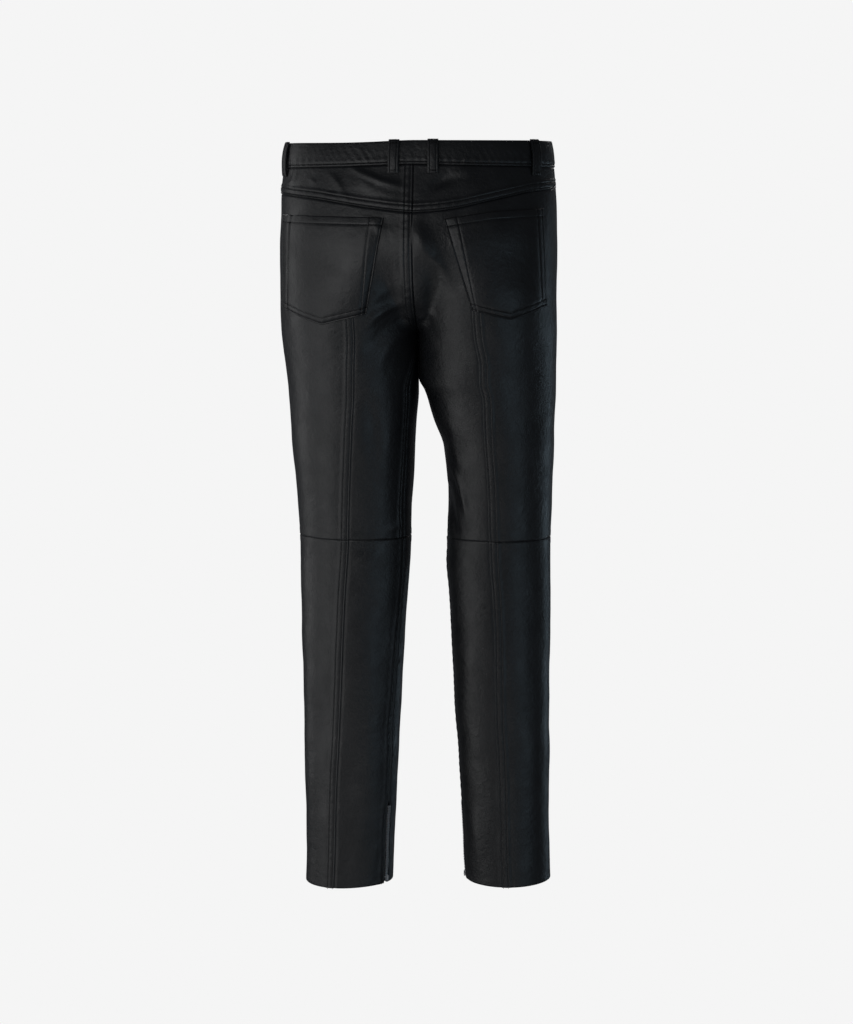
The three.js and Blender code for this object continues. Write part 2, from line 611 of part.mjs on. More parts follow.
// A closed zip stands in the foot of each inseam, with its slider at the hem.
function inseamPoint(side, z, across, out) {
  const u = across < 0
    ? stepAlong(side, 1, z, across)
    : stepAlong(side, 0, z, across);
  return toWorld(side, leatherPoint(side, Math.min(1, Math.max(0, u)), z, out));
}
function zipGeometry(side) {
  const top = HEMS[side].inner + ZIP_LENGTH - 5;
  const foot = HEMS[side].inner + 1;
  const rows = 8;
  const half = ZIP_WIDTH / 2 - SEAM_GAP / 2;
  const layer = (out) => {
    const grid = [];
    for (let r = 0; r <= rows; r += 1) {
      const z = top + (foot - top) * (r / rows);
      grid.push([-half, -half / 2, half / 2, half].map((across) => inseamPoint(side, z, across, out)));
    }
    return grid;
  };
  return wallGeometry(layer(ZIP_PROUD), layer(ZIP_PROUD - ZIP_WALL), side === 'right');
}
function sliderGeometry(side) {
  const z = HEMS[side].inner + 1 + SLIDER.length / 2;
  const centre = inseamPoint(side, z, 0, ZIP_PROUD + 2 * SEAM_GAP + SLIDER.thickness / 2);
  const outside = inseamPoint(side, z, 0, 30).sub(inseamPoint(side, z, 0, 0)).normalize();
  const geometry = new THREE.BoxGeometry(SLIDER.width, SLIDER.thickness, SLIDER.length);
  geometry.rotateZ(Math.atan2(-outside.x, outside.y));
  geometry.translate(centre.x, centre.y, centre.z);
  return geometry;
}
for (const side of SIDES) {
  addPiece(`ankle_zip_${side}`, zipGeometry(side), METAL_COLOUR, 0.35, 1);
  addPiece(`ankle_slider_${side}`, sliderGeometry(side), METAL_COLOUR, 0.3, 1);
}

export default trousers;
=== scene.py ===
import math

import bpy
import numpy as np
from mathutils import Matrix, Vector


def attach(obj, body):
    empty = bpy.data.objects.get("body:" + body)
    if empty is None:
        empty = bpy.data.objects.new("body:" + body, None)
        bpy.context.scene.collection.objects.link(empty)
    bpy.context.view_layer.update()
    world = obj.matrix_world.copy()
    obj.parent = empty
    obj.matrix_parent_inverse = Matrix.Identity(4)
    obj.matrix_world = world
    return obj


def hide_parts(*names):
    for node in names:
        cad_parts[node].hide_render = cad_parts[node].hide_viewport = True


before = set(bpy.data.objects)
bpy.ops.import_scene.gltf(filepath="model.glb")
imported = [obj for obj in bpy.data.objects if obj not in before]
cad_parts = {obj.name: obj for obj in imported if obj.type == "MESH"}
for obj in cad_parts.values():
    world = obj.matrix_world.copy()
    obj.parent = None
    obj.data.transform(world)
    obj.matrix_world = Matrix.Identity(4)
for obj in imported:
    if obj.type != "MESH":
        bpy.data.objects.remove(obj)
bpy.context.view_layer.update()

scene = bpy.context.scene
scene.view_settings.view_transform = "Standard"
MM = 0.001


# The camera
# It stands behind the trousers at the height of the waist, a little to the wearer's right, and
# looks slightly down, so that the waist is seen edge on and the hems hang in a shallow U.
CAMERA_DISTANCE = 3.8
CAMERA_HEIGHT = 0.05
CAMERA_TURN = math.radians(184.5)
LOOK_HEIGHT = -0.5
HIP_HEIGHT = -0.06
PICTURE_WIDTH = 853
MIDDLE_PIXEL = 426.5
GARMENT_PIXEL = 419  # where the trousers' middle plane lies in the picture
METRES_PER_PIXEL = 0.0014  # at the hips
SENSOR_WIDTH = 36

camera_tilt = math.atan2(CAMERA_HEIGHT - LOOK_HEIGHT, CAMERA_DISTANCE)
camera_back = Vector((
    math.sin(CAMERA_TURN) * math.cos(camera_tilt),
    -math.cos(CAMERA_TURN) * math.cos(camera_tilt),
    math.sin(camera_tilt),
))
camera_right = Vector((math.cos(CAMERA_TURN), math.sin(CAMERA_TURN), 0))
camera_up = camera_back.cross(camera_right)
side_step = (MIDDLE_PIXEL - GARMENT_PIXEL) * METRES_PER_PIXEL
camera_place = Vector((0, 0, LOOK_HEIGHT)) + camera_right * side_step
camera_place += camera_back * (CAMERA_DISTANCE / math.cos(camera_tilt))
hip_depth = CAMERA_DISTANCE * math.cos(camera_tilt)
hip_depth += (CAMERA_HEIGHT - HIP_HEIGHT) * math.sin(camera_tilt)

camera_data = bpy.data.cameras.new("camera")
camera_data.sensor_fit = "HORIZONTAL"
camera_data.sensor_width = SENSOR_WIDTH
camera_data.lens = hip_depth / METRES_PER_PIXEL * SENSOR_WIDTH / PICTURE_WIDTH
camera = bpy.data.objects.new("camera", camera_data)
camera_axes = Matrix((camera_right, camera_up, camera_back)).transposed().to_4x4()
camera.matrix_world = Matrix.Translation(camera_place) @ camera_axes
scene.collection.objects.link(camera)
scene.camera = camera


# The leather and the form that it takes
# Slim legs and a seat cut from thin lamb nappa, filled out by a wearer's waist. The rings below
# give its true sizes in millimetres: an oval at the seat that parts into two leg tubes.
LEATHER_WALL = 1.6
SEAM_GAP = 0.3
SEAM_INSET = SEAM_GAP / 6  # a panel stops this far short of its seam's line
CROTCH_Z = -242
SEAT_Z = -110  # the legs part below this height at the back, and below the next at the front
FRONT_SEAT_Z = -158
SEAT_SQUARENESS = 2.4
BACK_SEAM_TURN = 24
CROTCH_REACH = 0.16
KNEE_Z = -533
THIGH_TOUCH = 14  # so near the middle plane, and below this height, the thighs press each other flat
THIGH_TOUCH_Z = -214
THIGH_TOUCH_FADE = 24
SEAT_COLUMNS = ("z", "left", "right", "back", "front")
SEAT_ROWS = [
    (27, 184.8, 184.2, 91, 85),
    (4, 187.4, 187.0, 96, 89),
    (-13, 189.0, 188.2, 100, 91),
    (-45, 192.2, 190.9, 109, 94),
    (-80, 193.5, 193.0, 118, 96),
    (-115, 195.0, 193.4, 124, 97),
    (-170, 194.6, 192.8, 123, 95),
    (-208, 193.0, 192.8, 115, 92),
    (-242, 192.2, 193.8, 104, 88),
]
LEG_COLUMNS = ("z", "outer", "inner", "back", "front", "inseam", "back_seam")
LEG_ROWS = {
    "left": [
        (-110, 195.0, 0.2, 125, 97, 0, 84),
        (-180, 194.3, 0.2, 118, 94, 0, 84),
        (-242, 192.3, 0.2, 104, 88, 0, 84),
        (-285, 188.6, 0.2, 96, 88, 16, 86),
        (-325, 184.5, 0.2, 88, 86, 26, 88),
        (-367, 182.3, 3.4, 82, 83, 25, 89.5),
        (-409, 179.8, 6.0, 77, 80, 25, 91),
        (-451, 176.5, 8.0, 71, 76, 26, 93),
        (-493, 172.7, 10.7, 64, 70, 26, 95),
        (-542, 170.0, 11.9, 58, 63, 24, 97),
        (-609, 169.3, 16.0, 56, 59, 23, 99.5),
        (-676, 167.6, 20.5, 56, 56, 26, 101.5),
        (-743, 166.4, 23.6, 54, 53, 29, 103.5),
        (-805, 165.5, 27.3, 51, 50, 31, 105.5),
        (-851, 165.4, 29.8, 49, 48, 30, 107),
        (-927, 164.7, 33.7, 46, 47, 30, 109.5),
        (-1003, 164.1, 36.9, 45, 47, 30, 111),
        (-1046, 164.8, 39.2, 45, 48, 30, 111.5),
    ],
    "right": [
        (-110, 193.4, 0.2, 125, 97, 0, 84),
        (-180, 192.8, 0.2, 118, 94, 0, 84),
        (-242, 193.5, 0.2, 104, 88, 0, 86),
        (-285, 193.4, 0.2, 96, 88, 0, 90),
        (-308, 193.1, 0.3, 91, 87, -1, 90),
        (-324, 192.8, 7.6, 88, 86, -1, 90),
        (-365, 191.8, 20.3, 82, 83, -2, 87.5),
        (-406, 190.8, 36.4, 76, 80, -3, 83),
        (-450, 190.1, 39.8, 70, 76, -3, 84),
        (-491, 188.3, 41.2, 64, 70, -3, 85),
        (-540, 186.4, 40.8, 58, 63, -3, 87),
        (-569, 186.9, 39.6, 57, 61, -3, 88),
        (-606, 187.7, 42.3, 56, 59, -3, 89),
        (-673, 186.6, 47.1, 56, 56, -3, 90),
        (-740, 186.8, 50.0, 54, 53, -3, 89.5),
        (-802, 186.9, 53.4, 51, 50, -3, 89),
        (-847, 187.9, 57.9, 49, 48, -3, 89),
        (-922, 187.9, 62.0, 46, 47, -3, 89),
        (-998, 188.9, 65.6, 45, 47, -3, 88.5),
        (-1040, 190.1, 69.6, 45, 48, -3, 88),
    ],
}


def named_rows(columns, rows):
    return [dict(zip(columns, row)) for row in rows]


SEAT_RINGS = named_rows(SEAT_COLUMNS, SEAT_ROWS)
LEGS = {side: named_rows(LEG_COLUMNS, rows) for side, rows in LEG_ROWS.items()}


def smooth(t):
    s = np.clip(t, 0, 1)
    return s * s * (3 - 2 * s)


def pass_through(x, y, at):
    """Values at some places of smooth curves through points, with no overshoot."""
    at = np.clip(np.asarray(at, float), x[0], x[-1]).ravel()
    y = np.broadcast_to(y.reshape(len(x), -1), (len(x), len(at)))
    step = np.diff(x)[:, None]
    slope = np.diff(y, axis=0) / step
    product = slope[:-1] * slope[1:]
    total = slope[:-1] + slope[1:]
    bend = np.where(product > 0, 2 * product / np.where(product > 0, total, 1), 0)
    tangent = np.concatenate([slope[:1], bend, slope[-1:]])
    i = np.clip(np.searchsorted(x, at, side="right") - 1, 0, len(x) - 2)
    k = np.arange(len(at))
    width = step[i, 0]
    t = (at - x[i]) / width
    rise = y[i + 1, k] - y[i, k]
    start = tangent[i, k] * width - rise
    end = rise - tangent[i + 1, k] * width
    return y[i, k] + t * rise + t * (1 - t) * ((1 - t) * start + t * end)


def read(table, along, column, at):
    """A column of a table of sizes, read between its rows."""
    rows = sorted(table, key=lambda row: row[along])
    x = np.array([row[along] for row in rows], float)
    y = np.array([row[column] for row in rows], float)
    at = np.asarray(at, float)
    return pass_through(x, y, at).reshape(at.shape)


def power(value, exponent):
    return np.sign(value) * np.abs(value) ** exponent


def seat_points(side, u, z):
    """The oval at the seat: the back seam lies a set turn from the centre back."""
    turn = np.where(
        u < 0.5,
        pass_through(np.array([0, 0.25, 0.5]), np.array([0, BACK_SEAM_TURN, 90.0]), u).reshape(u.shape),
        90 + 180 * (u - 0.5),
    )
    exponent = 2 / SEAT_SQUARENESS
    back = read(SEAT_RINGS, "z", "back", z)
    front = read(SEAT_RINGS, "z", "front", z)
    depth = np.where(turn < 90, back, front)
    angle = np.radians(turn)
    x = read(SEAT_RINGS, "z", side, z) * power(np.sin(angle), exponent)
    return np.stack([x, depth * power(np.cos(angle), exponent), z], axis=-1)


def leg_points(side, u, z):
    """The tube of a leg, whose inseam and back seam wander round it on the way down."""
    get = {name: read(LEGS[side], "z", name, z) for name in LEG_COLUMNS[1:]}
    marks = np.stack([
        get["inseam"].ravel(),
        get["back_seam"].ravel(),
        np.full(u.size, 180.0),
        270 + get["inseam"].ravel() / 2,
        360 + get["inseam"].ravel(),
    ])
    turn = pass_through(np.array([0, 0.25, 0.5, 0.75, 1]), marks, u).reshape(u.shape)
    angle = np.radians(turn)
    x = (get["outer"] + get["inner"]) / 2 - (get["outer"] - get["inner"]) / 2 * np.cos(angle)
    y = (get["back"] - get["front"]) / 2 + (get["back"] + get["front"]) / 2 * np.sin(angle)
    return np.stack([x, y, z], axis=-1)


def plain_points(side, u, z):
    """The leather's outer face with no folds. u goes from the centre back or the inseam (0) by
    the back seam (0.25) and the side (0.5) to the centre front or the inseam again (1)."""
    seat_level = np.where(
        u < 0.5, SEAT_Z, SEAT_Z + (FRONT_SEAT_Z - SEAT_Z) * smooth((u - 0.5) / 0.3))
    rise = np.clip((z - CROTCH_Z) / (seat_level - CROTCH_Z), 0, 1)
    seam_share = np.sqrt(rise * (2 - rise))
    near_seam = 1 - smooth(np.minimum(u, 1 - u) / CROTCH_REACH)
    share = (seam_share * near_seam + smooth(rise) * (1 - near_seam))[..., None]
    return leg_points(side, u, z) * (1 - share) + seat_points(side, u, z) * share


U_STEP = 0.002
Z_STEP = 0.5


def normals(side, u, z):
    wide = plain_points(side, np.minimum(u + U_STEP, 1), z)
    wide = wide - plain_points(side, np.maximum(u - U_STEP, 0), z)
    deep = plain_points(side, u, z - Z_STEP) - plain_points(side, u, z + Z_STEP)
    n = np.cross(wide, deep)
    return n / np.linalg.norm(n, axis=-1, keepdims=True)


# Folds and creases, in millimetres: a line from one place to another (distance from the middle
# plane, height) that bows to one side, half its width, and how far the leather stands out.
FOLD_COLUMNS = ("side", "face", "x0", "z0", "x1", "z1", "bow", "spread", "out")
FOLD_ROWS = [
    ("left", "back", 86, -12, 17, -37, -3, 4.5, 3.2),
    ("left", "back", 84, -26, 16, -50, -3, 12, 1.8),
    ("left", "back", 117, -19, 92, -57, 3, 5, 2.0),
    ("left", "back", 166, -16, 179, -36, 4, 4, 1.6),
    ("left", "back", 144, -29, 136, -37, 2, 3.5, 1.0),
    ("left", "back", 74, -24, 58, -42, 0, 5, 0.9),
    ("right", "back", 66, -21, 22, -43, 4, 8, -4.4),
    ("right", "back", 82, -16, 40, -30, 3, 7, 2.6),
    ("right", "back", 150, -30, 162, -48, 0, 5, 1.2),
    ("right", "back", 4, -84, 27, -134, 4, 12, 5.0),
    ("right", "back", 27, -134, 50, -172, -4, 8, 3.0),
    ("right", "back", 6, -190, 30, -216, 3, 5, 1.6),
    ("right", "back", 12, -214, 34, -246, 4, 7, -1.4),
    ("right", "back", 4, -222, 15, -212, 1, 2.6, 1.4),
    ("right", "back", 5, -232, 18, -226, 1, 2.6, 1.1),
    ("left", "back", 4, -220, 14, -212, -1, 2.6, 1.3),
    ("left", "back", 4, -230, 17, -226, -1, 2.6, 1.5),
    ("left", "back", 5, -238, 20, -242, 1, 3.0, 1.1),
    ("right", "back", 52, -96, 62, -128, 0, 5, 0.9),
    ("left", "back", 18, -198, 62, -224, -4, 6, 3.4),
    ("left", "back", 14, -220, 60, -262, -6, 10, -2.8),
    ("left", "back", 16, -240, 50, -292, -6, 7, 1.6),
    ("left", "back", 30, -176, 60, -200, -3, 6, 1.2),
    ("left", "back", 40, -300, 46, -500, 3, 14, 2.2),
    ("left", "back", 66, -330, 58, -420, 4, 9, -1.2),
    ("left", "back", 66, -76, 30, -96, -4, 6, 1.4),
    ("left", "back", 50, -74, 36, -110, -3, 5, 1.2),
    ("right", "back", 50, -432, 69, -494, -5, 4.5, 4.0),
    ("right", "back", 44, -462, 56, -524, 2, 6.5, -4.2),
    ("right", "back", 48, -392, 62, -440, -3, 8, 2.0),
    ("right", "back", 44, -340, 60, -400, 3, 9, 1.2),
    ("left", "back", 18, -508, 44, -520, 2, 5, 1.6),
    ("left", "back", 16, -526, 40, -528, 1, 4, -1.0),
    ("left", "back", 150, -540, 164, -560, 2, 6, 1.0),
    ("left", "back", 60, -560, 84, -566, 2, 5, 0.8),
    ("right", "back", 52, -552, 76, -560, 2, 5, 1.2),
    ("right", "back", 150, -512, 176, -520, 2, 5, 0.9),
    ("left", "back", 48, -640, 56, -760, 3, 10, -0.9),
    ("left", "back", 84, -700, 90, -830, -3, 10, 0.8),
    ("right", "back", 76, -640, 80, -790, 3, 10, 0.9),
    ("right", "back", 160, -600, 164, -760, -3, 11, -0.8),
    ("left", "back", 52, -920, 62, -1000, 3, 7, 0.9),
    ("left", "back", 148, -880, 150, -980, -3, 8, 0.7),
    ("right", "back", 84, -900, 90, -1010, 3, 8, 1.0),
    ("left", "front", 30, -30, 29, -116, 0, 2.6, -0.9),
    ("left", "front", 29, -110, 3, -149, -8, 2.6, -0.9),
    ("left", "front", 10, -212, 70, -176, 4, 9, 3.4),
    ("right", "front", 12, -206, 78, -184, -4, 9, 3.2),
    ("left", "front", 20, -236, 96, -226, 5, 8, 2.8),
    ("right", "front", 18, -238, 84, -246, -5, 8, 2.6),
    ("left", "front", 14, -188, 52, -140, 4, 6, 1.5),
    ("right", "front", 16, -182, 60, -132, 3, 6, 1.4),
    ("left", "front", 24, -262, 70, -274, 3, 7, 1.4),
    ("right", "front", 30, -270, 84, -288, 3, 7, 1.3),
    ("left", "front", 60, -500, 128, -516, 3, 7, 1.8),
    ("right", "front", 70, -506, 142, -496, -3, 7, 1.8),
    ("left", "front", 44, -546, 110, -560, 3, 6, 1.3),
    ("right", "front", 84, -552, 150, -566, 3, 6, 1.2),
    ("left", "front", 70, -640, 76, -800, 3, 12, 0.9),
    ("right", "front", 104, -620, 98, -790, 3, 12, 0.9),
    ("left", "front", 60, -940, 72, -1010, 3, 8, 1.0),
    ("right", "front", 96, -950, 108, -1010, 3, 8, 1.0),
]
FOLDS = named_rows(FOLD_COLUMNS, FOLD_ROWS)
FOLD_STEPS = 10
FOLD_END = 0.3  # its height at its ends, as a share of that in its middle


def fold_height(side, u, points):
    """How far the folds move the leather out at some points of the plain surface."""
    height = np.zeros(u.shape)
    x = points[..., 0]
    z = points[..., 2]
    for fold in FOLDS:
        if fold["side"] != side:
            continue
        here = (u < 0.5) if fold["face"] == "back" else (u >= 0.5)
        reach = 3 * fold["spread"] + abs(fold["bow"])
        here = here & (z > min(fold["z0"], fold["z1"]) - reach)
        here = here & (z < max(fold["z0"], fold["z1"]) + reach)
        if not here.any():
            continue
        px, pz = x[here], z[here]
        start = np.array([fold["x0"], fold["z0"]], float)
        end = np.array([fold["x1"], fold["z1"]], float)
        across = np.array([end[1] - start[1], start[0] - end[0]])
        across /= np.linalg.norm(across)
        t = np.linspace(0, 1, FOLD_STEPS)[:, None]
        line = start + (end - start) * t + across * fold["bow"] * 4 * t * (1 - t)
        distance = np.full(px.shape, np.inf)
        place = np.zeros(px.shape)
        for k in range(FOLD_STEPS - 1):
            step = line[k + 1] - line[k]
            dx, dz = px - line[k, 0], pz - line[k, 1]
            share = np.clip((dx * step[0] + dz * step[1]) / (step @ step), 0, 1)
            away = np.hypot(dx - share * step[0], dz - share * step[1])
            closer = away < distance
            distance = np.where(closer, away, distance)
            place = np.where(closer, (k + share) / (FOLD_STEPS - 1), place)
        taper = FOLD_END + (1 - FOLD_END) * np.sin(np.pi * place)
        height[here] += fold["out"] * taper * np.exp(-((distance / fold["spread"]) ** 2))
    return height


# Thin leather is never quite even: slow swells 30 to 110 mm long, a fraction of a millimetre high.
SWELLS = 22
swell_random = np.random.default_rng(7)
swell_lengths = swell_random.uniform(30, 110, SWELLS)
swell_turns = swell_random.normal(0, 1, (SWELLS, 3))
swell_turns /= np.linalg.norm(swell_turns, axis=1, keepdims=True)
swell_starts = swell_random.uniform(0, 2 * math.pi, SWELLS)
SWELL_HEIGHT = 0.0015  # of its length


def swell_height(points):
    height = np.zeros(points.shape[:-1])
    for length, way, start in zip(swell_lengths, swell_turns, swell_starts):
        height += SWELL_HEIGHT * length * np.sin(points @ way * 2 * math.pi / length + start)
    return height


def leather_points(side, u, z, out=0.0):
    """Points of the leather's outer face, moved out by a distance in millimetres."""
    plain = plain_points(side, u, z)
    between_legs = 1 - smooth(plain[..., 0] / THIGH_TOUCH)
    between_legs = between_legs * smooth((THIGH_TOUCH_Z - plain[..., 2]) / THIGH_TOUCH_FADE)
    away = (fold_height(side, u, plain) + swell_height(plain)) * (1 - between_legs) + out
    points = plain + normals(side, u, z) * np.asarray(away)[..., None]
    points[..., 0] = np.maximum(points[..., 0], SEAM_GAP / 2)
    return points


def to_world(side, points):
    """The right leg is worked out on the left and mirrored."""
    return points if side == "left" else points * np.array([-1, 1, 1])


SHARP_ANGLE = math.radians(55)


def mesh_piece(name, verts, faces):
    mesh = bpy.data.meshes.new(name)
    mesh.from_pydata(verts, [], faces)
    piece = bpy.data.objects.new(name, mesh)
    scene.collection.objects.link(piece)
    return piece


def wall_piece(name, outer, inner, mirrored):
    """A closed wall between two grids of points, outer face first, as a smooth mesh."""
    rows, columns = outer.shape[:2]
    points = np.concatenate([outer.reshape(-1, 3), inner.reshape(-1, 3)]) * MM
    a = np.arange(rows * columns).reshape(rows, columns)
    b = a + rows * columns
    groups = [
        (a[:-1, :-1], a[:-1, 1:], a[1:, 1:], a[1:, :-1]),
        (b[:-1, :-1], b[1:, :-1], b[1:, 1:], b[:-1, 1:]),
        (a[0, :-1], b[0, :-1], b[0, 1:], a[0, 1:]),
        (a[-1, :-1], a[-1, 1:], b[-1, 1:], b[-1, :-1]),
        (a[:-1, 0], a[1:, 0], b[1:, 0], b[:-1, 0]),
        (a[:-1, -1], b[:-1, -1], b[1:, -1], a[1:, -1]),
    ]
    faces = np.concatenate([np.stack(group, axis=-1).reshape(-1, 4) for group in groups])
    if mirrored:
        faces = faces[:, ::-1]
    piece = mesh_piece(name, points.tolist(), faces.tolist())
    piece.data.shade_smooth()
    piece.data.set_sharp_from_angle(angle=SHARP_ANGLE)
    return piece


def line_lengths(grid, axis):
    return np.linalg.norm(np.diff(grid, axis=axis), axis=-1).sum(axis=axis)


def distances_along(line):
    """How far each point of a line, or of every row of a grid, lies from the start."""
    steps = np.linalg.norm(np.diff(line, axis=-2), axis=-1)
    return np.concatenate([np.zeros(steps.shape[:-1] + (1,)), np.cumsum(steps, axis=-1)], axis=-1)


def nearest(values, value):
    return int(np.argmin(np.abs(np.asarray(values) - value)))


def leather_piece(name, face, back, mirrored, node):
    """A cut piece of leather."""
    piece = wall_piece(name, face, back, mirrored)
    piece.data.materials.append(nappa)
    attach(piece, "root")
    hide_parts(node)


def linear(hex_colour):
    parts = [int(hex_colour[i:i + 2], 16) / 255 for i in (1, 3, 5)]
    return [c / 12.92 if c <= 0.04045 else ((c + 0.055) / 1.055) ** 2.4 for c in parts] + [1.0]


def add_node(tree, kind, settings=None, values=None, links=None):
    """Adds a node with its settings, its sockets' values and the links into it."""
    node = tree.nodes.new(kind)
    for key, value in (settings or {}).items():
        setattr(node, key, value)
    for key, value in (values or {}).items():
        node.inputs[key].default_value = value
    for key, source in (links or {}).items():
        tree.links.new(source, node.inputs[key])
    return node


# Black lamb nappa, full grain and drum dyed: near black with a soft half gloss. Its fine even
# grain of about a millimetre is drawn at 1.7 mm so that it shows, with faint crumple between.
NAPPA_BLACK = "#0a0c0f"
NAPPA_WORN = "#131417"
NAPPA_IOR = 1.5
TONE_SIZE = 0.06  # slow changes of the dye
POLISH_SIZE = 0.028  # patches that handling has polished
GRAIN_SIZE = 0.0017
GRAIN_DEPTH = 0.00016
CRUMPLE_SIZE = 0.008
CRUMPLE_DEPTH = 0.0013
DRAPE_SIZE = 0.036
DRAPE_DEPTH = 0.0009


def new_material(name):
    """A material with its node tree, its shader and the piece's own coordinates."""
    material = bpy.data.materials.new(name)
    material.use_nodes = True
    tree = material.node_tree
    on_piece = add_node(tree, "ShaderNodeTexCoord").outputs["Object"]
    return material, tree, tree.nodes["Principled BSDF"], on_piece


nappa, tree, shader, on_piece = new_material("black lamb nappa, half gloss")
tone = add_node(
    tree, "ShaderNodeTexNoise", values={"Scale": 1 / TONE_SIZE, "Detail": 3.0},
    links={"Vector": on_piece})
colours = add_node(tree, "ShaderNodeValToRGB", links={"Fac": tone.outputs["Fac"]})
colours.color_ramp.elements[0].position = 0.35
colours.color_ramp.elements[0].color = linear(NAPPA_BLACK)
colours.color_ramp.elements[1].position = 0.75
colours.color_ramp.elements[1].color = linear(NAPPA_WORN)
tree.links.new(colours.outputs["Color"], shader.inputs["Base Color"])
polish = add_node(
    tree, "ShaderNodeTexNoise", values={"Scale": 1 / POLISH_SIZE, "Detail": 4.0},
    links={"Vector": on_piece})
roughness = add_node(
    tree, "ShaderNodeMapRange",
    values={"From Min": 0.3, "From Max": 0.7, "To Min": 0.36, "To Max": 0.5},
    links={"Value": polish.outputs["Fac"]})
tree.links.new(roughness.outputs["Result"], shader.inputs["Roughness"])
crumple = add_node(
    tree, "ShaderNodeTexNoise",
    values={"Scale": 1 / CRUMPLE_SIZE, "Detail": 4.0, "Roughness": 0.6, "Distortion": 0.3},
    links={"Vector": on_piece})
grain = add_node(
    tree, "ShaderNodeTexVoronoi", {"feature": "SMOOTH_F1"},
    {"Scale": 1 / GRAIN_SIZE, "Smoothness": 0.35}, {"Vector": on_piece})
drape = add_node(
    tree, "ShaderNodeTexNoise",
    values={"Scale": 1 / DRAPE_SIZE, "Detail": 2.0, "Roughness": 0.5, "Distortion": 0.15},
    links={"Vector": on_piece})
drape_bump = add_node(
    tree, "ShaderNodeBump", values={"Strength": 0.6, "Distance": DRAPE_DEPTH},
    links={"Height": drape.outputs["Fac"]})
crumple_bump = add_node(
    tree, "ShaderNodeBump", values={"Strength": 0.6, "Distance": CRUMPLE_DEPTH},
    links={"Height": crumple.outputs["Fac"], "Normal": drape_bump.outputs["Normal"]})
grain_bump = add_node(
    tree, "ShaderNodeBump", values={"Strength": 0.55, "Distance": GRAIN_DEPTH},
    links={"Height": grain.outputs["Distance"], "Normal": crumple_bump.outputs["Normal"]})
tree.links.new(grain_bump.outputs["Normal"], shader.inputs["Normal"])
shader.inputs["IOR"].default_value = NAPPA_IOR


# Panel edges
# The leather is folded under at the seams that are stitched through, which raises a band beside
# the fold, and each row of stitches pulls a groove into it. Plain seams are only pressed open.
FELLED_LAP = 5.5  # the felled edge lies this far over the next panel
# In millimetres: height and width of the raised band, distances of the rows of stitches from the
# edge, how wide and how deep the edge rolls off, depth of the grooves, distance of the trough.
EDGE_COLUMNS = ("lift", "width", "stitch_rows", "round", "roll", "groove", "trough")
EDGE_ROWS = {
    "felled": (1.2, 11.2, (2.5, 9.5), 0.8, 0.8, 0.6, None),
    "centre_back": (1.1, 12.2, (3.1, 10.2), 0.8, 0.8, 0.85, None),
    "yoke": (1.1, 10.8, (2.4, 9.0), 0.8, 0.8, 0.85, None),
    "band_foot": (0.3, 7.0, (3.4,), 0.9, 0.6, 0.85, None),
    "band_top": (0.0, 3.0, (), 1.6, 0.5, 0, None),
    "band_end": (0.0, 3.0, (3.2,), 0.9, 0.5, 0.85, None),
    "topstitched": (0.8, 8.5, (3.4,), 0.8, 0.7, 0.85, None),
    "pressed": (0.35, 8.0, (), 1.5, 1.0, 0, None),
    "hem": (0.0, 3.0, (), 1.2, 0.5, 0, None),
    "under": (0.0, 3.0, (), 2.0, 1.3, 0, None),
    "under_lap": (0.0, 3.0, (), 1.0, 0.6, 0, 6.5),
}
EDGES = {kind: dict(zip(EDGE_COLUMNS, row)) for kind, row in EDGE_ROWS.items()}
GROOVE_HALF_WIDTH = 0.95
LINES_IN_GROOVE = (-1.6, -0.8, 0, 0.8, 1.6)  # the mesh's lines across it, in half widths
TROUGH_DEPTH = 0.6  # the lap presses the panel below it down beside its edge
EDGE_FALL = 3.5  # the band's far side slopes down over this width
PUCKER_HEIGHT = 0.3
PUCKER_LENGTH = 11.0
PUCKER_SPREAD = 5.0
PUCKER_SHIFT = 1.5  # inwards from the middle of the rows
PUCKER_DRIFT = 1.3  # so that no two puckers are the same length
PUCKER_DRIFT_LENGTH = 17.0
CLOSEST_LINES = 0.25
SPACING = 3.0  # between the mesh's lines away from the seams
SEAM_TUCK = 0.7  # a panel's inner face goes this far under the next, so that no light shows through
CROTCH_TUCK = 7  # below the crotch too, where the four inner panels meet
BACK_SEAM_U = 0.25
LAP_SAMPLE = 0.06  # a lapped panel is measured from this far before its seam
LAP_STEP = 0.5  # the lap's inner face steps down to the panel's over this width
PANEL_SAMPLES = 81


def edge_lines(kind):
    """Distances from an edge, in millimetres, at which the mesh needs a line."""
    edge = EDGES[kind]
    lines = {0.0, edge["round"] * 0.4, edge["round"], edge["round"] * 2}
    dips = edge["stitch_rows"] if edge["trough"] is None else (edge["trough"],)
    lines |= {dip + k * GROOVE_HALF_WIDTH for dip in dips for k in LINES_IN_GROOVE}
    if edge["lift"]:
        lines |= {edge["width"], edge["width"] + EDGE_FALL / 2, edge["width"] + EDGE_FALL}
    kept = []
    for line in sorted(x for x in lines if x >= 0):
        if not kept or line - kept[-1] > CLOSEST_LINES or line in edge["stitch_rows"]:
            kept.append(line)
    return kept


def bump_shape(distance, half_width=GROOVE_HALF_WIDTH):
    return np.exp(-((distance / half_width) ** 2))


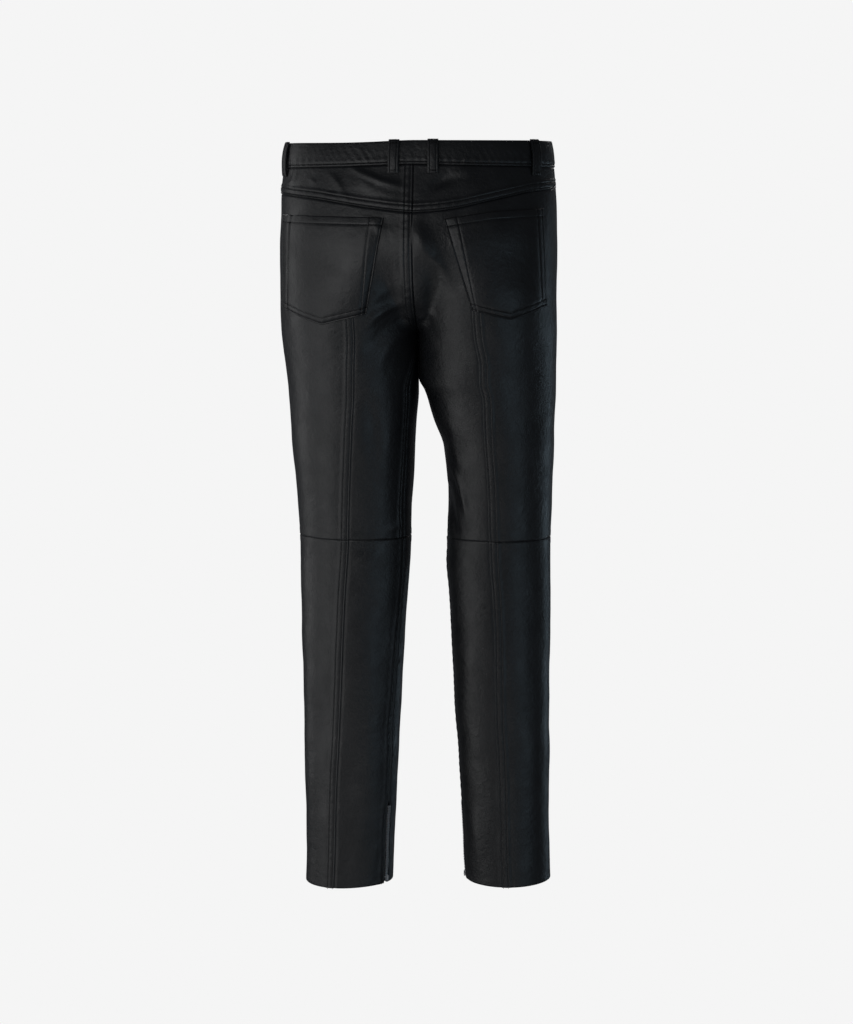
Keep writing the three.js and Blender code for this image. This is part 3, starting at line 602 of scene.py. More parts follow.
def edge_height(kind, away, along):
    """Height of the leather beside an edge, at a distance from it and a place along it."""
    edge = EDGES[kind]
    height = edge["lift"] * (1 - smooth((away - edge["width"]) / EDGE_FALL))
    height = height - edge["roll"] * (1 - smooth(away / edge["round"]))
    if edge["trough"] is not None:
        height = height - TROUGH_DEPTH * bump_shape(away - edge["trough"])
    for row in edge["stitch_rows"]:
        height = height - edge["groove"] * bump_shape(away - row)
    if edge["stitch_rows"]:
        middle = edge["stitch_rows"][0] / 2 + edge["stitch_rows"][-1] / 2 + PUCKER_SHIFT
        drift = PUCKER_DRIFT * np.sin(along / PUCKER_DRIFT_LENGTH)
        wave = np.sin(along * 2 * math.pi / PUCKER_LENGTH + drift)
        height = height + PUCKER_HEIGHT * wave * bump_shape(away - middle, PUCKER_SPREAD)
    return height


stitch_paths = []  # rows of points on the leather that the stitching follows, in millimetres


def spread_lines(start_kind, end_kind, length, spacing=SPACING):
    """Places of the mesh's lines across a panel, in millimetres from its start."""
    start = edge_lines(start_kind)
    end = [length - line for line in reversed(edge_lines(end_kind))]
    room = end[0] - start[-1]
    count = max(1, round(room / spacing))
    middle = [start[-1] + room * k / count for k in range(1, count)]
    return start + middle + end


def heights_between(top, foot, reach, depth, top_zone, foot_zone):
    """Heights of a mesh's rows: true distances beside both edges, and spread evenly between."""
    share = np.clip((depth - top_zone) / (foot_zone - top_zone), 0, 1)
    upper = top - np.minimum(depth, top_zone)
    lower = foot + (reach - np.maximum(depth, foot_zone))
    return upper + (lower - upper) * share


def panel_piece(node, side, span, top, foot, kinds, strength_at=None, lap=0.0):
    """A panel between two places round the ring and two heights. Its edges are of four kinds, at
    its start, end, top and foot, and its start laps over the panel beside it by a distance."""
    from_u, to_u = span
    start_kind, end_kind, top_kind, foot_kind = kinds
    if start_kind == "centre_back" and side == "right":
        start_kind = "under"  # the left one is folded over it
    sample = np.linspace(from_u - (LAP_SAMPLE if lap else 0), to_u, PANEL_SAMPLES)
    reach = float((top(side, sample) - foot(side, sample)).max())
    down = spread_lines(top_kind, foot_kind, reach)
    zones = edge_lines(top_kind)[-1], reach - edge_lines(foot_kind)[-1]
    middle_line = plain_points(side, sample, (top(side, sample) + foot(side, sample)) / 2)
    width = float(line_lengths(middle_line[None], 1)[0])
    across = spread_lines(start_kind, end_kind, width)
    start_lines, end_lines = edge_lines(start_kind), edge_lines(end_kind)
    count = len(across) - len(start_lines) - len(end_lines)

    u_grid = np.empty((len(down), len(across)))
    z_grid = np.empty_like(u_grid)
    for row, depth in enumerate(down):
        z_line = heights_between(top(side, sample), foot(side, sample), reach, depth, *zones)
        place = distances_along(plain_points(side, sample, z_line))
        place -= np.interp(from_u, sample, place)
        gap_start = zip_gap(side, z_line[0]) if from_u == 0 else SEAM_INSET
        gap_end = zip_gap(side, z_line[-1]) if to_u == 1 else SEAM_INSET
        shown = float(strength_at(np.mean(z_line))) if strength_at else 1.0
        inside = [gap_start - lap * shown + k for k in start_lines]
        outside = [place[-1] - gap_end - k for k in reversed(end_lines)]
        room = outside[0] - inside[-1]
        between = [inside[-1] + room * k / (count + 1) for k in range(1, count + 1)]
        u = np.interp(inside + between + outside, place, sample)
        u_grid[row] = u
        z_grid[row] = heights_between(top(side, u), foot(side, u), reach, depth, *zones)

    run = distances_along(plain_points(side, u_grid, z_grid))
    depths = np.broadcast_to(np.array(down)[:, None], u_grid.shape)
    strength = strength_at(z_grid) if strength_at else np.ones(z_grid.shape)
    start_strength = strength if from_u == BACK_SEAM_U else 1.0
    end_strength = strength if to_u == BACK_SEAM_U else 1.0
    out = start_strength * edge_height(start_kind, run, z_grid)
    out = out + end_strength * edge_height(end_kind, run[:, -1:] - run, z_grid)
    out = out + edge_height(top_kind, depths, run) + edge_height(foot_kind, reach - depths, run)
    on_next = np.clip((lap - run) / LAP_STEP, 0, 1) * strength if lap else 0.0
    inside_out = np.broadcast_to(SEAM_INSET * on_next - LEATHER_WALL * (1 - on_next), u_grid.shape)
    inner_u, inner_z = u_grid.copy(), z_grid.copy()
    inner_z[0] += SEAM_TUCK
    inner_z[-1] -= SEAM_TUCK if foot_kind != "hem" else 0
    if from_u > 0 and not lap:
        inner_u[:, 0] -= SEAM_TUCK / width * (to_u - from_u)
    if to_u < 1:
        inner_u[:, -1] += SEAM_TUCK / width * (to_u - from_u)
    face = leather_points(side, u_grid, z_grid, out)
    back = leather_points(side, inner_u, inner_z, inside_out)
    for points, from_middle, tuck in ((face, SEAM_INSET, 0), (back, -SEAM_TUCK, CROTCH_TUCK)):
        above = z_grid >= CROTCH_Z - tuck
        if from_u == 0:
            points[above[:, 0], 0, 0] = from_middle
        if to_u == 1:
            points[above[:, -1], -1, 0] = from_middle
    face, back = to_world(side, face), to_world(side, back)
    leather_piece(f"leather_{node}", face, back, side == "right", node)
    for line in EDGES[start_kind]["stitch_rows"]:
        column = start_lines.index(line)
        keep = (strength[:, column] > 0.5) | (from_u == 0)
        stitch_paths.append(face[keep, column])
    for line in EDGES[top_kind]["stitch_rows"]:
        stitch_paths.append(face[down.index(line)])
    for line in EDGES[foot_kind]["stitch_rows"]:
        stitch_paths.append(face[nearest(down, reach - line)])


# The panels of the legs
# Each leg is cut in six: an inner and an outer back panel and a front, above and below the knee.
# The outer back panel is folded over the inner one, and the back panel over the front one.
BAND_COLUMNS = ("u", "top", "seam")
BAND_ROWS = {
    "left": [
        (0, 25.2, -6.6), (0.25, 21.7, -10.0), (0.5, 19.6, -15.0), (0.75, 10.0, -24.0), (1, 5.0, -29.0)],
    "right": [
        (0, 25.2, -6.6), (0.25, 25.0, -8.6), (0.5, 23.0, -13.0), (0.75, 12.0, -22.5), (1, 5.0, -29.0)],
}
WAISTBAND = {side: named_rows(BAND_COLUMNS, rows) for side, rows in BAND_ROWS.items()}
YOKE_SEAM = named_rows(("x", "left", "right"), [
    (0, -72.0, -72.0), (30, -69.3, -70.0), (60, -65.5, -66.0), (95, -60.5, -58.5),
    (130, -55.2, -51.0), (165, -51.8, -44.0), (195, -49.5, -41.0),
])
YOKE_LEVEL = -60.0
HEMS = {
    "left": {"inner": -1037.0, "outer": -1041.5, "back_drop": 2.8},
    "right": {"inner": -1033.5, "outer": -1031.5, "back_drop": 3.0},
}
ZIP_LENGTH = 118
ZIP_WIDTH = 5.4
ZIP_FADE = 8  # the opening for the zip closes over this length above it
BACK_SEAM_TOP = -165  # the back seams come out from under the pockets
BACK_SEAM_FADE = 24


def band_top(side, u):
    return read(WAISTBAND[side], "u", "top", u)


def band_seam(side, u):
    return read(WAISTBAND[side], "u", "seam", u)


def yoke_edge(side, u):
    u = np.asarray(u, float)
    x = seat_points(side, u, np.full(u.shape, YOKE_LEVEL))[..., 0]
    return read(YOKE_SEAM, "x", side, x)


def hem_height(side, u):
    hem = HEMS[side]
    u = np.asarray(u, float)
    ring = leg_points(side, u, np.full(u.shape, hem["inner"]))
    last = LEGS[side][-1]
    share = (ring[..., 0] - last["inner"]) / (last["outer"] - last["inner"])
    level = hem["inner"] + (hem["outer"] - hem["inner"]) * share
    return level - hem["back_drop"] * ring[..., 1] / last["back"]


def zip_gap(side, z):
    """Half the opening in the inseam at a height: wide only where the ankle zip stands."""
    zip_top = HEMS[side]["inner"] + ZIP_LENGTH + ZIP_FADE / 2
    return SEAM_INSET + float(smooth((zip_top - z) / ZIP_FADE)) * ZIP_WIDTH / 2


def under_yoke(side, u):
    return yoke_edge(side, u) - SEAM_INSET


def under_band(side, u):
    return band_seam(side, u) - SEAM_INSET


def above_knee(side, u):
    return np.full(np.shape(u), KNEE_Z + SEAM_INSET)


def below_knee(side, u):
    return np.full(np.shape(u), KNEE_Z - SEAM_INSET)


def from_pocket(z):
    """How far the back seam's lap has come out from under the pocket at a height."""
    return smooth((BACK_SEAM_TOP + BACK_SEAM_FADE / 2 - z) / BACK_SEAM_FADE)


LEG_PANELS = [  # its name, span, top, foot, kinds of edge (start, end, top, foot), seam and lap
    ("back_inner_upper", (0, BACK_SEAM_U), under_yoke, above_knee,
     ("centre_back", "under_lap", "under", "pressed"), from_pocket, 0),
    ("back_outer_upper", (BACK_SEAM_U, 0.5), under_yoke, above_knee,
     ("felled", "pressed", "under", "pressed"), from_pocket, FELLED_LAP),
    ("front_upper", (0.5, 1), under_band, above_knee,
     ("pressed", "under", "under", "pressed"), None, 0),
    ("back_inner_lower", (0, BACK_SEAM_U), below_knee, hem_height,
     ("topstitched", "under_lap", "pressed", "hem"), None, 0),
    ("back_outer_lower", (BACK_SEAM_U, 0.5), below_knee, hem_height,
     ("felled", "pressed", "pressed", "hem"), None, FELLED_LAP),
    ("front_lower", (0.5, 1), below_knee, hem_height,
     ("pressed", "under", "pressed", "hem"), None, 0),
]
for side in ("left", "right"):
    for node, *panel in LEG_PANELS:
        panel_piece(f"{node}_{side}", side, *panel)


# The yoke
# Two pointed pieces meet at the centre back and lie over the tops of the back panels. Their lower
# edges are folded under and held by two rows of stitches; the waistband covers their upper edges.
def over_panels(side, u):
    return yoke_edge(side, u) + SEAM_INSET


for side in ("left", "right"):
    panel_piece(
        f"yoke_{side}", side, (0, 0.5), under_band, over_panels,
        ("centre_back", "pressed", "under", "yoke"))


# The waistband
# One strip of leather over a stiffener, turned in at the top and stitched along its foot. It goes
# right round, and its left end laps over the right one past the centre front.
BAND_PROUD = 0.8
BAND_OVERLAP = 18
BAND_LAP = 38  # length of the end that lies over the other
LAP_LIFT = 0.9
LAP_SLOPE = 5
BAND_ROLL = 0.8  # the stiffener makes the strip bow out between its edges
BAND_WALL = LEATHER_WALL + 0.3
BAND_BACK_SHARE = 0.2  # the inner face follows this much of the outer one's relief
BAND_SPACING = 1.6
BAND_SAMPLES = 900
CRINKLE_HEIGHT = 0.24  # short slanting wrinkles, where the leather is eased onto the stiffener
CRINKLE_LENGTH = 9.5


def place_of(side, x, z, face="back"):
    """Places round the ring that lie at distances from the middle plane, found by halving."""
    low = np.full(np.broadcast(x, z).shape, 0.0 if face == "back" else 0.5)
    z = np.broadcast_to(z, low.shape)
    high = low + 0.5
    for _ in range(26):
        middle = (low + high) / 2
        short = plain_points(side, middle, z)[..., 0] < x
        low = np.where(short == (face == "back"), middle, low)
        high = np.where(short == (face == "back"), high, middle)
    return (low + high) / 2


def round_ring(place, read_side):
    """Reads both sides at places round the ring, which are 0 to 1 on the left."""
    u = np.where(place > 1, 2 - place, np.abs(place))
    left, right = read_side("left", u), read_side("right", u)
    on_right = (place < 0) | (place > 1)
    return np.where(on_right.reshape(on_right.shape + (1,) * (left.ndim - u.ndim)), right, left)


def ring_points(place, z, out):
    def points(side, u):
        return to_world(side, leather_points(side, u, z, out))

    return round_ring(place, points)


meeting = float(place_of("right", np.array(BAND_OVERLAP - SEAM_GAP / 2), np.array(0.0), "front"))
sample = np.linspace(-meeting, 2 - meeting, BAND_SAMPLES)
run = distances_along(ring_points(sample, np.zeros(sample.shape), 0.0))
band_length = float(run[-1]) - SEAM_GAP
across = np.array(spread_lines("band_end", "band_end", band_length, BAND_SPACING))
place = np.interp(across + SEAM_GAP / 2, run, sample)
top = round_ring(place, band_top)
foot = round_ring(place, band_seam) + SEAM_INSET
reach = float((top - foot).max())
down = np.array(spread_lines("band_top", "band_foot", reach))[:, None]
zones = edge_lines("band_top")[-1], reach - edge_lines("band_foot")[-1]
height = heights_between(top, foot, reach, down, *zones)
place = np.broadcast_to(place, height.shape)
along = np.broadcast_to(across, height.shape)
away = edge_height("band_top", down, along) + edge_height("band_foot", reach - down, along)
away = away + edge_height("band_end", band_length - along, height)
away = away + BAND_ROLL * (1 - (2 * down / reach - 1) ** 2)
# the wrinkles' slant, spacing and height wander along the strip
slant = along + 0.7 * down + 3.0 * np.sin(along / 13.0) + 2.0 * np.sin(down / 5.0 + along / 29.0)
crinkle = np.sin(slant * 2 * math.pi / CRINKLE_LENGTH) * np.sin(np.pi * down / reach)
away = away + CRINKLE_HEIGHT * crinkle * (0.6 + 0.4 * np.sin(along / 37.0))
away = away + LAP_LIFT * smooth((along - band_length + BAND_LAP) / LAP_SLOPE)
band_face = ring_points(place, height, BAND_PROUD + away)
inner_height = height.copy()
inner_height[-1] -= SEAM_TUCK
band_back = ring_points(place, inner_height, away * BAND_BACK_SHARE - BAND_WALL)
leather_piece("leather_waistband", band_face, band_back, False, "waistband")
foot_row, = EDGES["band_foot"]["stitch_rows"]
end_row, = EDGES["band_end"]["stitch_rows"]
stitch_paths.append(band_face[nearest(down[:, 0], reach - foot_row)])
stitch_paths.append(band_face[2:-2, nearest(across, band_length - end_row)])


# The back pockets
# Patches with a pointed foot, sewn on the back panels over the back leg seams. Their edges are
# turned in and stitched close by, and a second row, which isn't quite parallel, holds the turning.
POCKET_TOPS = {  # the inner end, the middle and the outer end
    "left": ((38.4, -79.5), (112, -78.6), (183.5, -77.6)),
    "right": ((43.2, -81), (110, -71.5), (174, -68.5)),
}
POCKET_FEET = {
    "left": ((64.4, -210.5), (125.4, -226), (184, -207)),
    "right": ((81.2, -204.5), (133.8, -218.2), (181, -200.5)),
}
SECOND_ROWS = {  # the inner and the outer one, at the top and at the foot
    "left": ((57.0, 167.5), (72.5, 175.0)),
    "right": ((60.5, 165.5), (88.5, 173.5)),
}
POCKET_CLEARANCE = 0.5
POCKET_WALL = 1.5
POCKET_TURNING = 0.7  # the turned-in edge is this much thicker than the middle
POCKET_FULLNESS = 3.4  # how far the middle stands off the panel, past its rows of stitches
POCKET_SLOPE = 13  # it comes up over this width
POCKET_ROLL = 0.9
POCKET_GROOVE = 0.85
POCKET_HEM = 10.0
POCKET_FOOT_ROW = 9.5
EDGE_STITCH = 2.4
EDGE_START = [0, 0.35, 0.8]  # the mesh's first lines round a rolled edge
POCKET_COLUMNS = (4, 38, 2)  # the mesh's lines between its rows of stitches
POCKET_MESH_ROWS = 36


def corner_line(corners, x):
    """Height of a line through three places, with its corner a little rounded."""
    xs, zs = np.array(corners, float).T
    offsets = (-3.0, -1.5, 0.0, 1.5, 3.0)
    return sum(np.interp(x + k, xs, zs) for k in offsets) / len(offsets)


def near_line(at):
    """Places of the mesh's lines on both sides of a row of stitches."""
    return [at + k * GROOVE_HALF_WIDTH for k in (-1.8, -0.9, 0, 0.9, 1.8)]


edge_start = [*EDGE_START, *near_line(EDGE_STITCH)[1:]]
hem_lines = [*EDGE_START, 1.6, *near_line(POCKET_HEM)]
foot_lines = [*edge_start, *near_line(POCKET_FOOT_ROW)]
for side in ("left", "right"):
    ends = []
    marks = []
    for corners, rows in zip((POCKET_TOPS[side], POCKET_FEET[side]), SECOND_ROWS[side]):
        inner, outer = corners[0][0], corners[-1][0]
        line = [inner + d for d in edge_start]
        groups = [*map(near_line, rows), [outer - d for d in reversed(edge_start)]]
        for group, count in zip(groups, POCKET_COLUMNS):
            line += [*np.linspace(line[-1], group[0], count + 2)[1:-1], *group]
        ends.append(np.array(line))
        marks.append((inner, *rows, outer))
    x_top, x_foot = ends
    z_top = corner_line(POCKET_TOPS[side], x_top)
    z_foot = corner_line(POCKET_FEET[side], x_foot)
    reach = float((z_top - z_foot).max())
    zones = hem_lines[-1], reach - foot_lines[-1]
    middle_rows = np.linspace(*zones, POCKET_MESH_ROWS)[1:-1]
    down = np.array([*hem_lines, *middle_rows, *[reach - d for d in reversed(foot_lines)]])[:, None]
    z = heights_between(z_top, z_foot, reach, down, *zones)
    fall = (z_top - z) / (z_top - z_foot)
    x = x_top + (x_foot - x_top) * fall
    inner, inner_row, outer_row, outer = (start + (end - start) * fall for start, end in zip(*marks))
    to_inner, to_outer = x - inner, outer - x
    to_top, to_foot = np.broadcast_to(down, x.shape), np.broadcast_to(reach - down, x.shape)
    past_rows = (inner_row - x, x - outer_row, POCKET_FOOT_ROW - to_foot, POCKET_HEM - to_top)
    away = POCKET_TURNING * np.max([smooth(past / 2 + 0.5) for past in past_rows], axis=0)
    # the inner edge comes up by itself, and the other three hold the middle down beside them
    rise_inner = smooth(to_inner / (inner_row - inner + 2))
    rise_rest = smooth(np.min([to_outer, to_foot, to_top], axis=0) / POCKET_SLOPE)
    away = away + POCKET_FULLNESS * rise_inner * (0.35 + 0.65 * rise_rest)
    to_edge = np.min([to_inner, to_outer, to_foot, to_top], axis=0)
    away = away - POCKET_ROLL * (1 - smooth(to_edge / POCKET_ROLL))
    for distance in (*[gap - EDGE_STITCH for gap in (to_inner, to_outer, to_foot)], *past_rows):
        away = away - POCKET_GROOVE * bump_shape(distance)
    for along, distance, spread in ((z, to_inner - 6, 6), (x, to_foot - 6, 5)):
        wave = np.sin(along * 2 * math.pi / PUCKER_LENGTH + np.sin(along / 15))
        away = away + PUCKER_HEIGHT * wave * bump_shape(distance, spread)
    u = place_of(side, x, z)
    face = to_world(side, leather_points(side, u, z, POCKET_CLEARANCE + POCKET_WALL + away))
    back = to_world(side, leather_points(side, u, z, POCKET_CLEARANCE))
    leather_piece(f"leather_pocket_{side}", face, back, side == "right", f"pocket_back_{side}")
    for mark in (x_top[0] + EDGE_STITCH, *SECOND_ROWS[side][0], x_top[-1] - EDGE_STITCH):
        stitch_paths.append(face[3:-3, nearest(x_top, mark)])
    for mark in (POCKET_HEM, reach - POCKET_FOOT_ROW, reach - EDGE_STITCH):
        stitch_paths.append(face[nearest(down[:, 0], mark), 3:-3])


# The belt loops
# Straps folded in three and stitched along both edges. Each stands off the waistband, is turned
# in at its ends and tacked down at both, above the band's edge and below its seam.
LOOPS = [  # with the distance from the middle plane
    ("back", "left", 27.0),
    ("back", "right", 27.3),
    ("side", "left", 181.0),
    ("side", "right", 164.0),
    ("front", "left", 98.0),
    ("front", "right", 98.0),
]
LOOP_WIDTH = 14.5
LOOP_WALL = 2.2
LOOP_CLEARANCE = 0.45
LOOP_TOP_RISE = 1.5
LOOP_DROP = 12.5
LOOP_BULGE = 3.2
LOOP_STITCH = 4.3  # from the strap's middle line
LOOP_CROWN = 0.35  # the strap is thickest along its middle
LOOP_ROLL = 0.6
LOOP_END_ROLL = 0.8
LOOP_GROOVE = 0.55
LOOP_ROWS = 34
LOOP_EDGE_LINES = (0, 0.3, 0.8, 1.5)  # the mesh's lines from its long edges, its stitches and its ends
LOOP_STITCH_LINES = (1.1, 0.6, 0, -0.6, -1.1, -2.5)
LOOP_END_LINES = (0, 0.3, 0.8, 1.6)
LOOP_FIRST_ROW = 2.6  # the even rows between begin here
tack_paths = []


def step_along(side, u, z, distance):
    """Moves a place by a distance along the ring."""
    before, after = np.maximum(u - U_STEP, 0), np.minimum(u + U_STEP, 1)
    span = plain_points(side, after, z) - plain_points(side, before, z)
    return u + distance * (after - before) / np.linalg.norm(span, axis=-1)


for where, side, x in LOOPS:
    seen_from = "front" if where == "front" else "back"
    centre = float(place_of(side, np.array(x), np.array(0.0), seen_from))
    top = float(band_top(side, centre)) + LOOP_TOP_RISE
    length = top - (float(band_seam(side, centre)) - LOOP_DROP)
    half = LOOP_WIDTH / 2
    right_half = [half - k for k in LOOP_EDGE_LINES] + [LOOP_STITCH + k for k in LOOP_STITCH_LINES]
    across = np.array([*[-k for k in right_half], 0, *reversed(right_half)])
    rows = np.linspace(LOOP_FIRST_ROW, length - LOOP_FIRST_ROW, LOOP_ROWS)
    foot_end = [length - k for k in reversed(LOOP_END_LINES)]
    down = np.array([*LOOP_END_LINES, *rows, *foot_end])[:, None]
    z = np.broadcast_to(top - down, (len(down), len(across)))
    t = down / length
    away = LOOP_BULGE * np.sin(np.pi * t) ** 0.7 + BAND_PROUD * (1 - t)
    profile = LOOP_CROWN * (1 - (across / half) ** 2)
    profile = profile - LOOP_ROLL * (1 - smooth((half - np.abs(across)) / 1.2))
    profile = profile - LOOP_GROOVE * bump_shape(np.abs(across) - LOOP_STITCH, 0.6)
    profile = profile - LOOP_END_ROLL * (1 - smooth(np.minimum(down, length - down) / 1.6))
    u = step_along(side, np.full(z.shape, centre), z, across)
    face = to_world(side, leather_points(side, u, z, LOOP_CLEARANCE + LOOP_WALL + away + profile))
    back = to_world(side, leather_points(side, u, z, LOOP_CLEARANCE + away))
    node = f"loop_{where}_{side}"
    leather_piece(f"leather_{node}", face, back, side == "right", node)
    for stitch in (-LOOP_STITCH, LOOP_STITCH):
        stitch_paths.append(face[3:-3, nearest(across, stitch)])
    for row in (6, len(down) - 6):
        tack_paths += [face[row, 5:-5], face[row + 1, 5:-5]]


# The fly
# Behind the centre front seam a closed metal zip joins the fronts, and a leather shield lies
# behind the zip. A curved row of stitches on the left front holds the zip's tape.
FLY_LENGTH = 135
FLY_WIDTH = 38
FLY_DEPTH = 2.6
FLY_ZIP_LENGTH = 122
FLY_ZIP_WIDTH = 7
FLY_ZIP_WALL = 1.5
FLY_START = 1  # below the waistband's seam
FLY_STITCH = 30  # from the centre front to the straight part of the curved row
FLY_ROWS = (0, 6)  # the second row runs inside the first
FLY_STITCH_POINTS = 60


def fly_grid(width, length, depth, columns=12, rows=40):
    """Points behind the leather at the centre front, at a depth behind its inner face."""
    top = float(band_seam("left", 1.0)) - FLY_START
    z = np.broadcast_to(np.linspace(top, top - length, rows)[:, None], (rows, columns))
    x = np.broadcast_to(np.linspace(-width / 2, width / 2, columns), z.shape)
    face = np.empty((*z.shape, 3))
    for side, here in (("left", x >= 0), ("right", x < 0)):
        u = place_of(side, np.abs(x[here]), z[here], "front")
        front = plain_points(side, u, z[here])
        face[here] = np.stack([x[here], front[:, 1] + LEATHER_WALL + depth, z[here]], axis=-1)
    return face


shield_front = fly_grid(FLY_WIDTH, FLY_LENGTH, FLY_DEPTH)
shield_back = fly_grid(FLY_WIDTH, FLY_LENGTH, FLY_DEPTH + LEATHER_WALL)
leather_piece("leather_fly_shield", shield_front, shield_back, True, "fly_shield")
curve_z = np.array([-32, -60, -90, -112, -128, -140, -147, -150.0])
curve_x = np.array([FLY_STITCH, FLY_STITCH, 29.5, 27.5, 23, 16, 8, 2.5])
for inset in FLY_ROWS:
    z = np.linspace(curve_z[0], curve_z[-1] + inset, FLY_STITCH_POINTS)
    x = np.maximum(np.interp(-z, -curve_z - inset, curve_x) - inset, 1.5)
    stitch_paths.append(leather_points("left", place_of("left", x, z, "front"), z, 0.1))


# The metal
# Zip teeth and sliders are nickel silver with a tumbled gunmetal finish: grey, even, softly
# mirrored, with a fine roughness that catches light on its edges. The button is the same.
GUNMETAL = "#b4b5b8"
METAL_GRIT = 0.0004
gunmetal, tree, shader, on_piece = new_material("tumbled gunmetal plate on nickel silver")
shader.inputs["Base Color"].default_value = linear(GUNMETAL)
shader.inputs["Metallic"].default_value = 1.0
grit = add_node(
    tree, "ShaderNodeTexNoise", values={"Scale": 1 / METAL_GRIT, "Detail": 2.0},
    links={"Vector": on_piece})
dullness = add_node(
    tree, "ShaderNodeMapRange", values={"To Min": 0.22, "To Max": 0.42},
    links={"Value": grit.outputs["Fac"]})
tree.links.new(dullness.outputs["Result"], shader.inputs["Roughness"])

# Zip tape: a black woven polyester band. Its ribs are drawn 3.8 mm apart, much coarser than its
# real weave, because only slits of it show between the teeth.
TAPE_BLACK = "#17171a"
TAPE_RIB = 0.00377
WAVE_RADIANS = 20  # a wave texture runs through so many in each unit
TAPE_RELIEF = 0.0002
tape_cloth, tree, shader, on_piece = new_material("black woven zip tape")
shader.inputs["Base Color"].default_value = linear(TAPE_BLACK)
shader.inputs["Roughness"].default_value = 0.85
weave = add_node(
    tree, "ShaderNodeTexWave", {"bands_direction": "Z"},
    {"Scale": 2 * math.pi / WAVE_RADIANS / TAPE_RIB, "Distortion": 1.5}, {"Vector": on_piece})
weave_bump = add_node(
    tree, "ShaderNodeBump", values={"Strength": 0.6, "Distance": TAPE_RELIEF},
    links={"Height": weave.outputs["Fac"]})
tree.links.new(weave_bump.outputs["Normal"], shader.inputs["Normal"])


# The zips
# A closed zip stands in the foot of each inseam, and one in the fly. Each is a woven tape with a
# row of small cast teeth from each side that mesh along its middle.
TOOTH_PITCH = 2.4
TOOTH_REACH = 3.2  # across the chain
TOOTH_HEIGHT = 1.25
TOOTH_DEPTH = 1.7
TOOTH_OFFSET = 0.38  # of its reach, from the chain's middle line
FLY_TOOTH_DEPTH = 0.9
CHAIN_OUT = 0.9  # heights over the leather's outer face, at the ankles
TAPE_FACE_OUT = -0.55
TAPE_BACK_OUT = -1.5
TAPE_ROWS = 60
TAPE_COLUMNS = (-1, -0.6, -0.2, 0.2, 0.6, 1)
FLY_TAPE_WALL = 0.5
FLY_CHAIN_OUT = 0.6


def new_tree(name, inputs):
    """A node tree with named inputs, the identifiers of its sockets, and what its input gives."""
    tree = bpy.data.node_groups.new(name, "GeometryNodeTree")
    tree.interface.new_socket("Geometry", in_out="INPUT", socket_type="NodeSocketGeometry")
    identifiers = {}
    for label, (kind, value) in inputs.items():
        socket = tree.interface.new_socket(label, in_out="INPUT", socket_type=f"NodeSocket{kind}")
        socket.default_value = value
        identifiers[label] = socket.identifier
    tree.interface.new_socket("Geometry", in_out="OUTPUT", socket_type="NodeSocketGeometry")
    return tree, identifiers, add_node(tree, "NodeGroupInput").outputs


def points_on_rows(tree, given, spacing):
    """Even points on the rows that come in, and the turn that lays Z along each row."""
    line = add_node(tree, "GeometryNodeMeshToCurve", links={"Mesh": given["Geometry"]})
    spaced = add_node(
        tree, "GeometryNodeResampleCurve", {"mode": "LENGTH"},
        links={"Curve": line.outputs["Curve"], "Length": given[spacing]})
    tangent = add_node(tree, "GeometryNodeInputTangent")
    along_row = add_node(
        tree, "FunctionNodeAlignRotationToVector", {"axis": "Z"},
        links={"Vector": tangent.outputs["Tangent"]})
    return spaced.outputs["Curve"], along_row.outputs["Rotation"]


def smooth_shape(tree, mesh, scale):
    """A mesh scaled and shaded smooth, to be copied."""
    sized = add_node(tree, "GeometryNodeTransform", links={"Geometry": mesh, "Scale": scale})
    made = add_node(tree, "GeometryNodeSetShadeSmooth", links={"Geometry": sized.outputs["Geometry"]})
    return made.outputs["Geometry"]


def end_tree(tree, copies, material):
    """Turns the copies into one mesh with its material."""
    real = add_node(tree, "GeometryNodeRealizeInstances", links={"Geometry": copies})
    finished = add_node(
        tree, "GeometryNodeSetMaterial", links={"Geometry": real.outputs["Geometry"], "Material": material})
    add_node(tree, "NodeGroupOutput", links={"Geometry": finished.outputs["Geometry"]})


chain, chain_inputs, given = new_tree("zip chain", {
    "Half pitch": ("Float", TOOTH_PITCH / 2 * MM),
    "Tooth size": ("Vector", (TOOTH_REACH * MM, TOOTH_DEPTH * MM, TOOTH_HEIGHT * MM)),
    "Offset": ("Vector", (TOOTH_REACH * TOOTH_OFFSET * MM, 0, 0)),
    "Metal": ("Material", gunmetal),
})
places, upright = points_on_rows(chain, given, "Half pitch")
outward = add_node(
    chain, "GeometryNodeInputNamedAttribute", {"data_type": "FLOAT_VECTOR"}, {"Name": "outward"})
facing = add_node(
    chain, "FunctionNodeAlignRotationToVector", {"axis": "Y", "pivot_axis": "Z"},
    links={"Rotation": upright, "Vector": outward.outputs["Attribute"]})
number = add_node(chain, "GeometryNodeInputIndex")
odd = add_node(chain, "ShaderNodeMath", {"operation": "MODULO"}, {1: 2.0}, {0: number.outputs["Index"]})
even = add_node(chain, "ShaderNodeMath", {"operation": "SUBTRACT"}, {0: 1.0}, {1: odd.outputs["Value"]})
ball = add_node(chain, "GeometryNodeMeshIcoSphere", values={"Radius": 0.6, "Subdivisions": 2})
block = smooth_shape(chain, ball.outputs["Mesh"], given["Tooth size"])
other_way = add_node(
    chain, "ShaderNodeVectorMath", {"operation": "SCALE"}, {"Scale": -1.0}, {0: given["Offset"]})
joined = add_node(chain, "GeometryNodeJoinGeometry")
for offset, chosen in ((given["Offset"], odd), (other_way.outputs["Vector"], even)):
    tooth = add_node(chain, "GeometryNodeTransform", links={"Geometry": block, "Translation": offset})
    teeth = add_node(
        chain, "GeometryNodeInstanceOnPoints",
        links={
            "Points": places, "Instance": tooth.outputs["Geometry"],
            "Selection": chosen.outputs["Value"], "Rotation": facing.outputs["Rotation"],
        })
    chain.links.new(teeth.outputs["Instances"], joined.inputs["Geometry"])
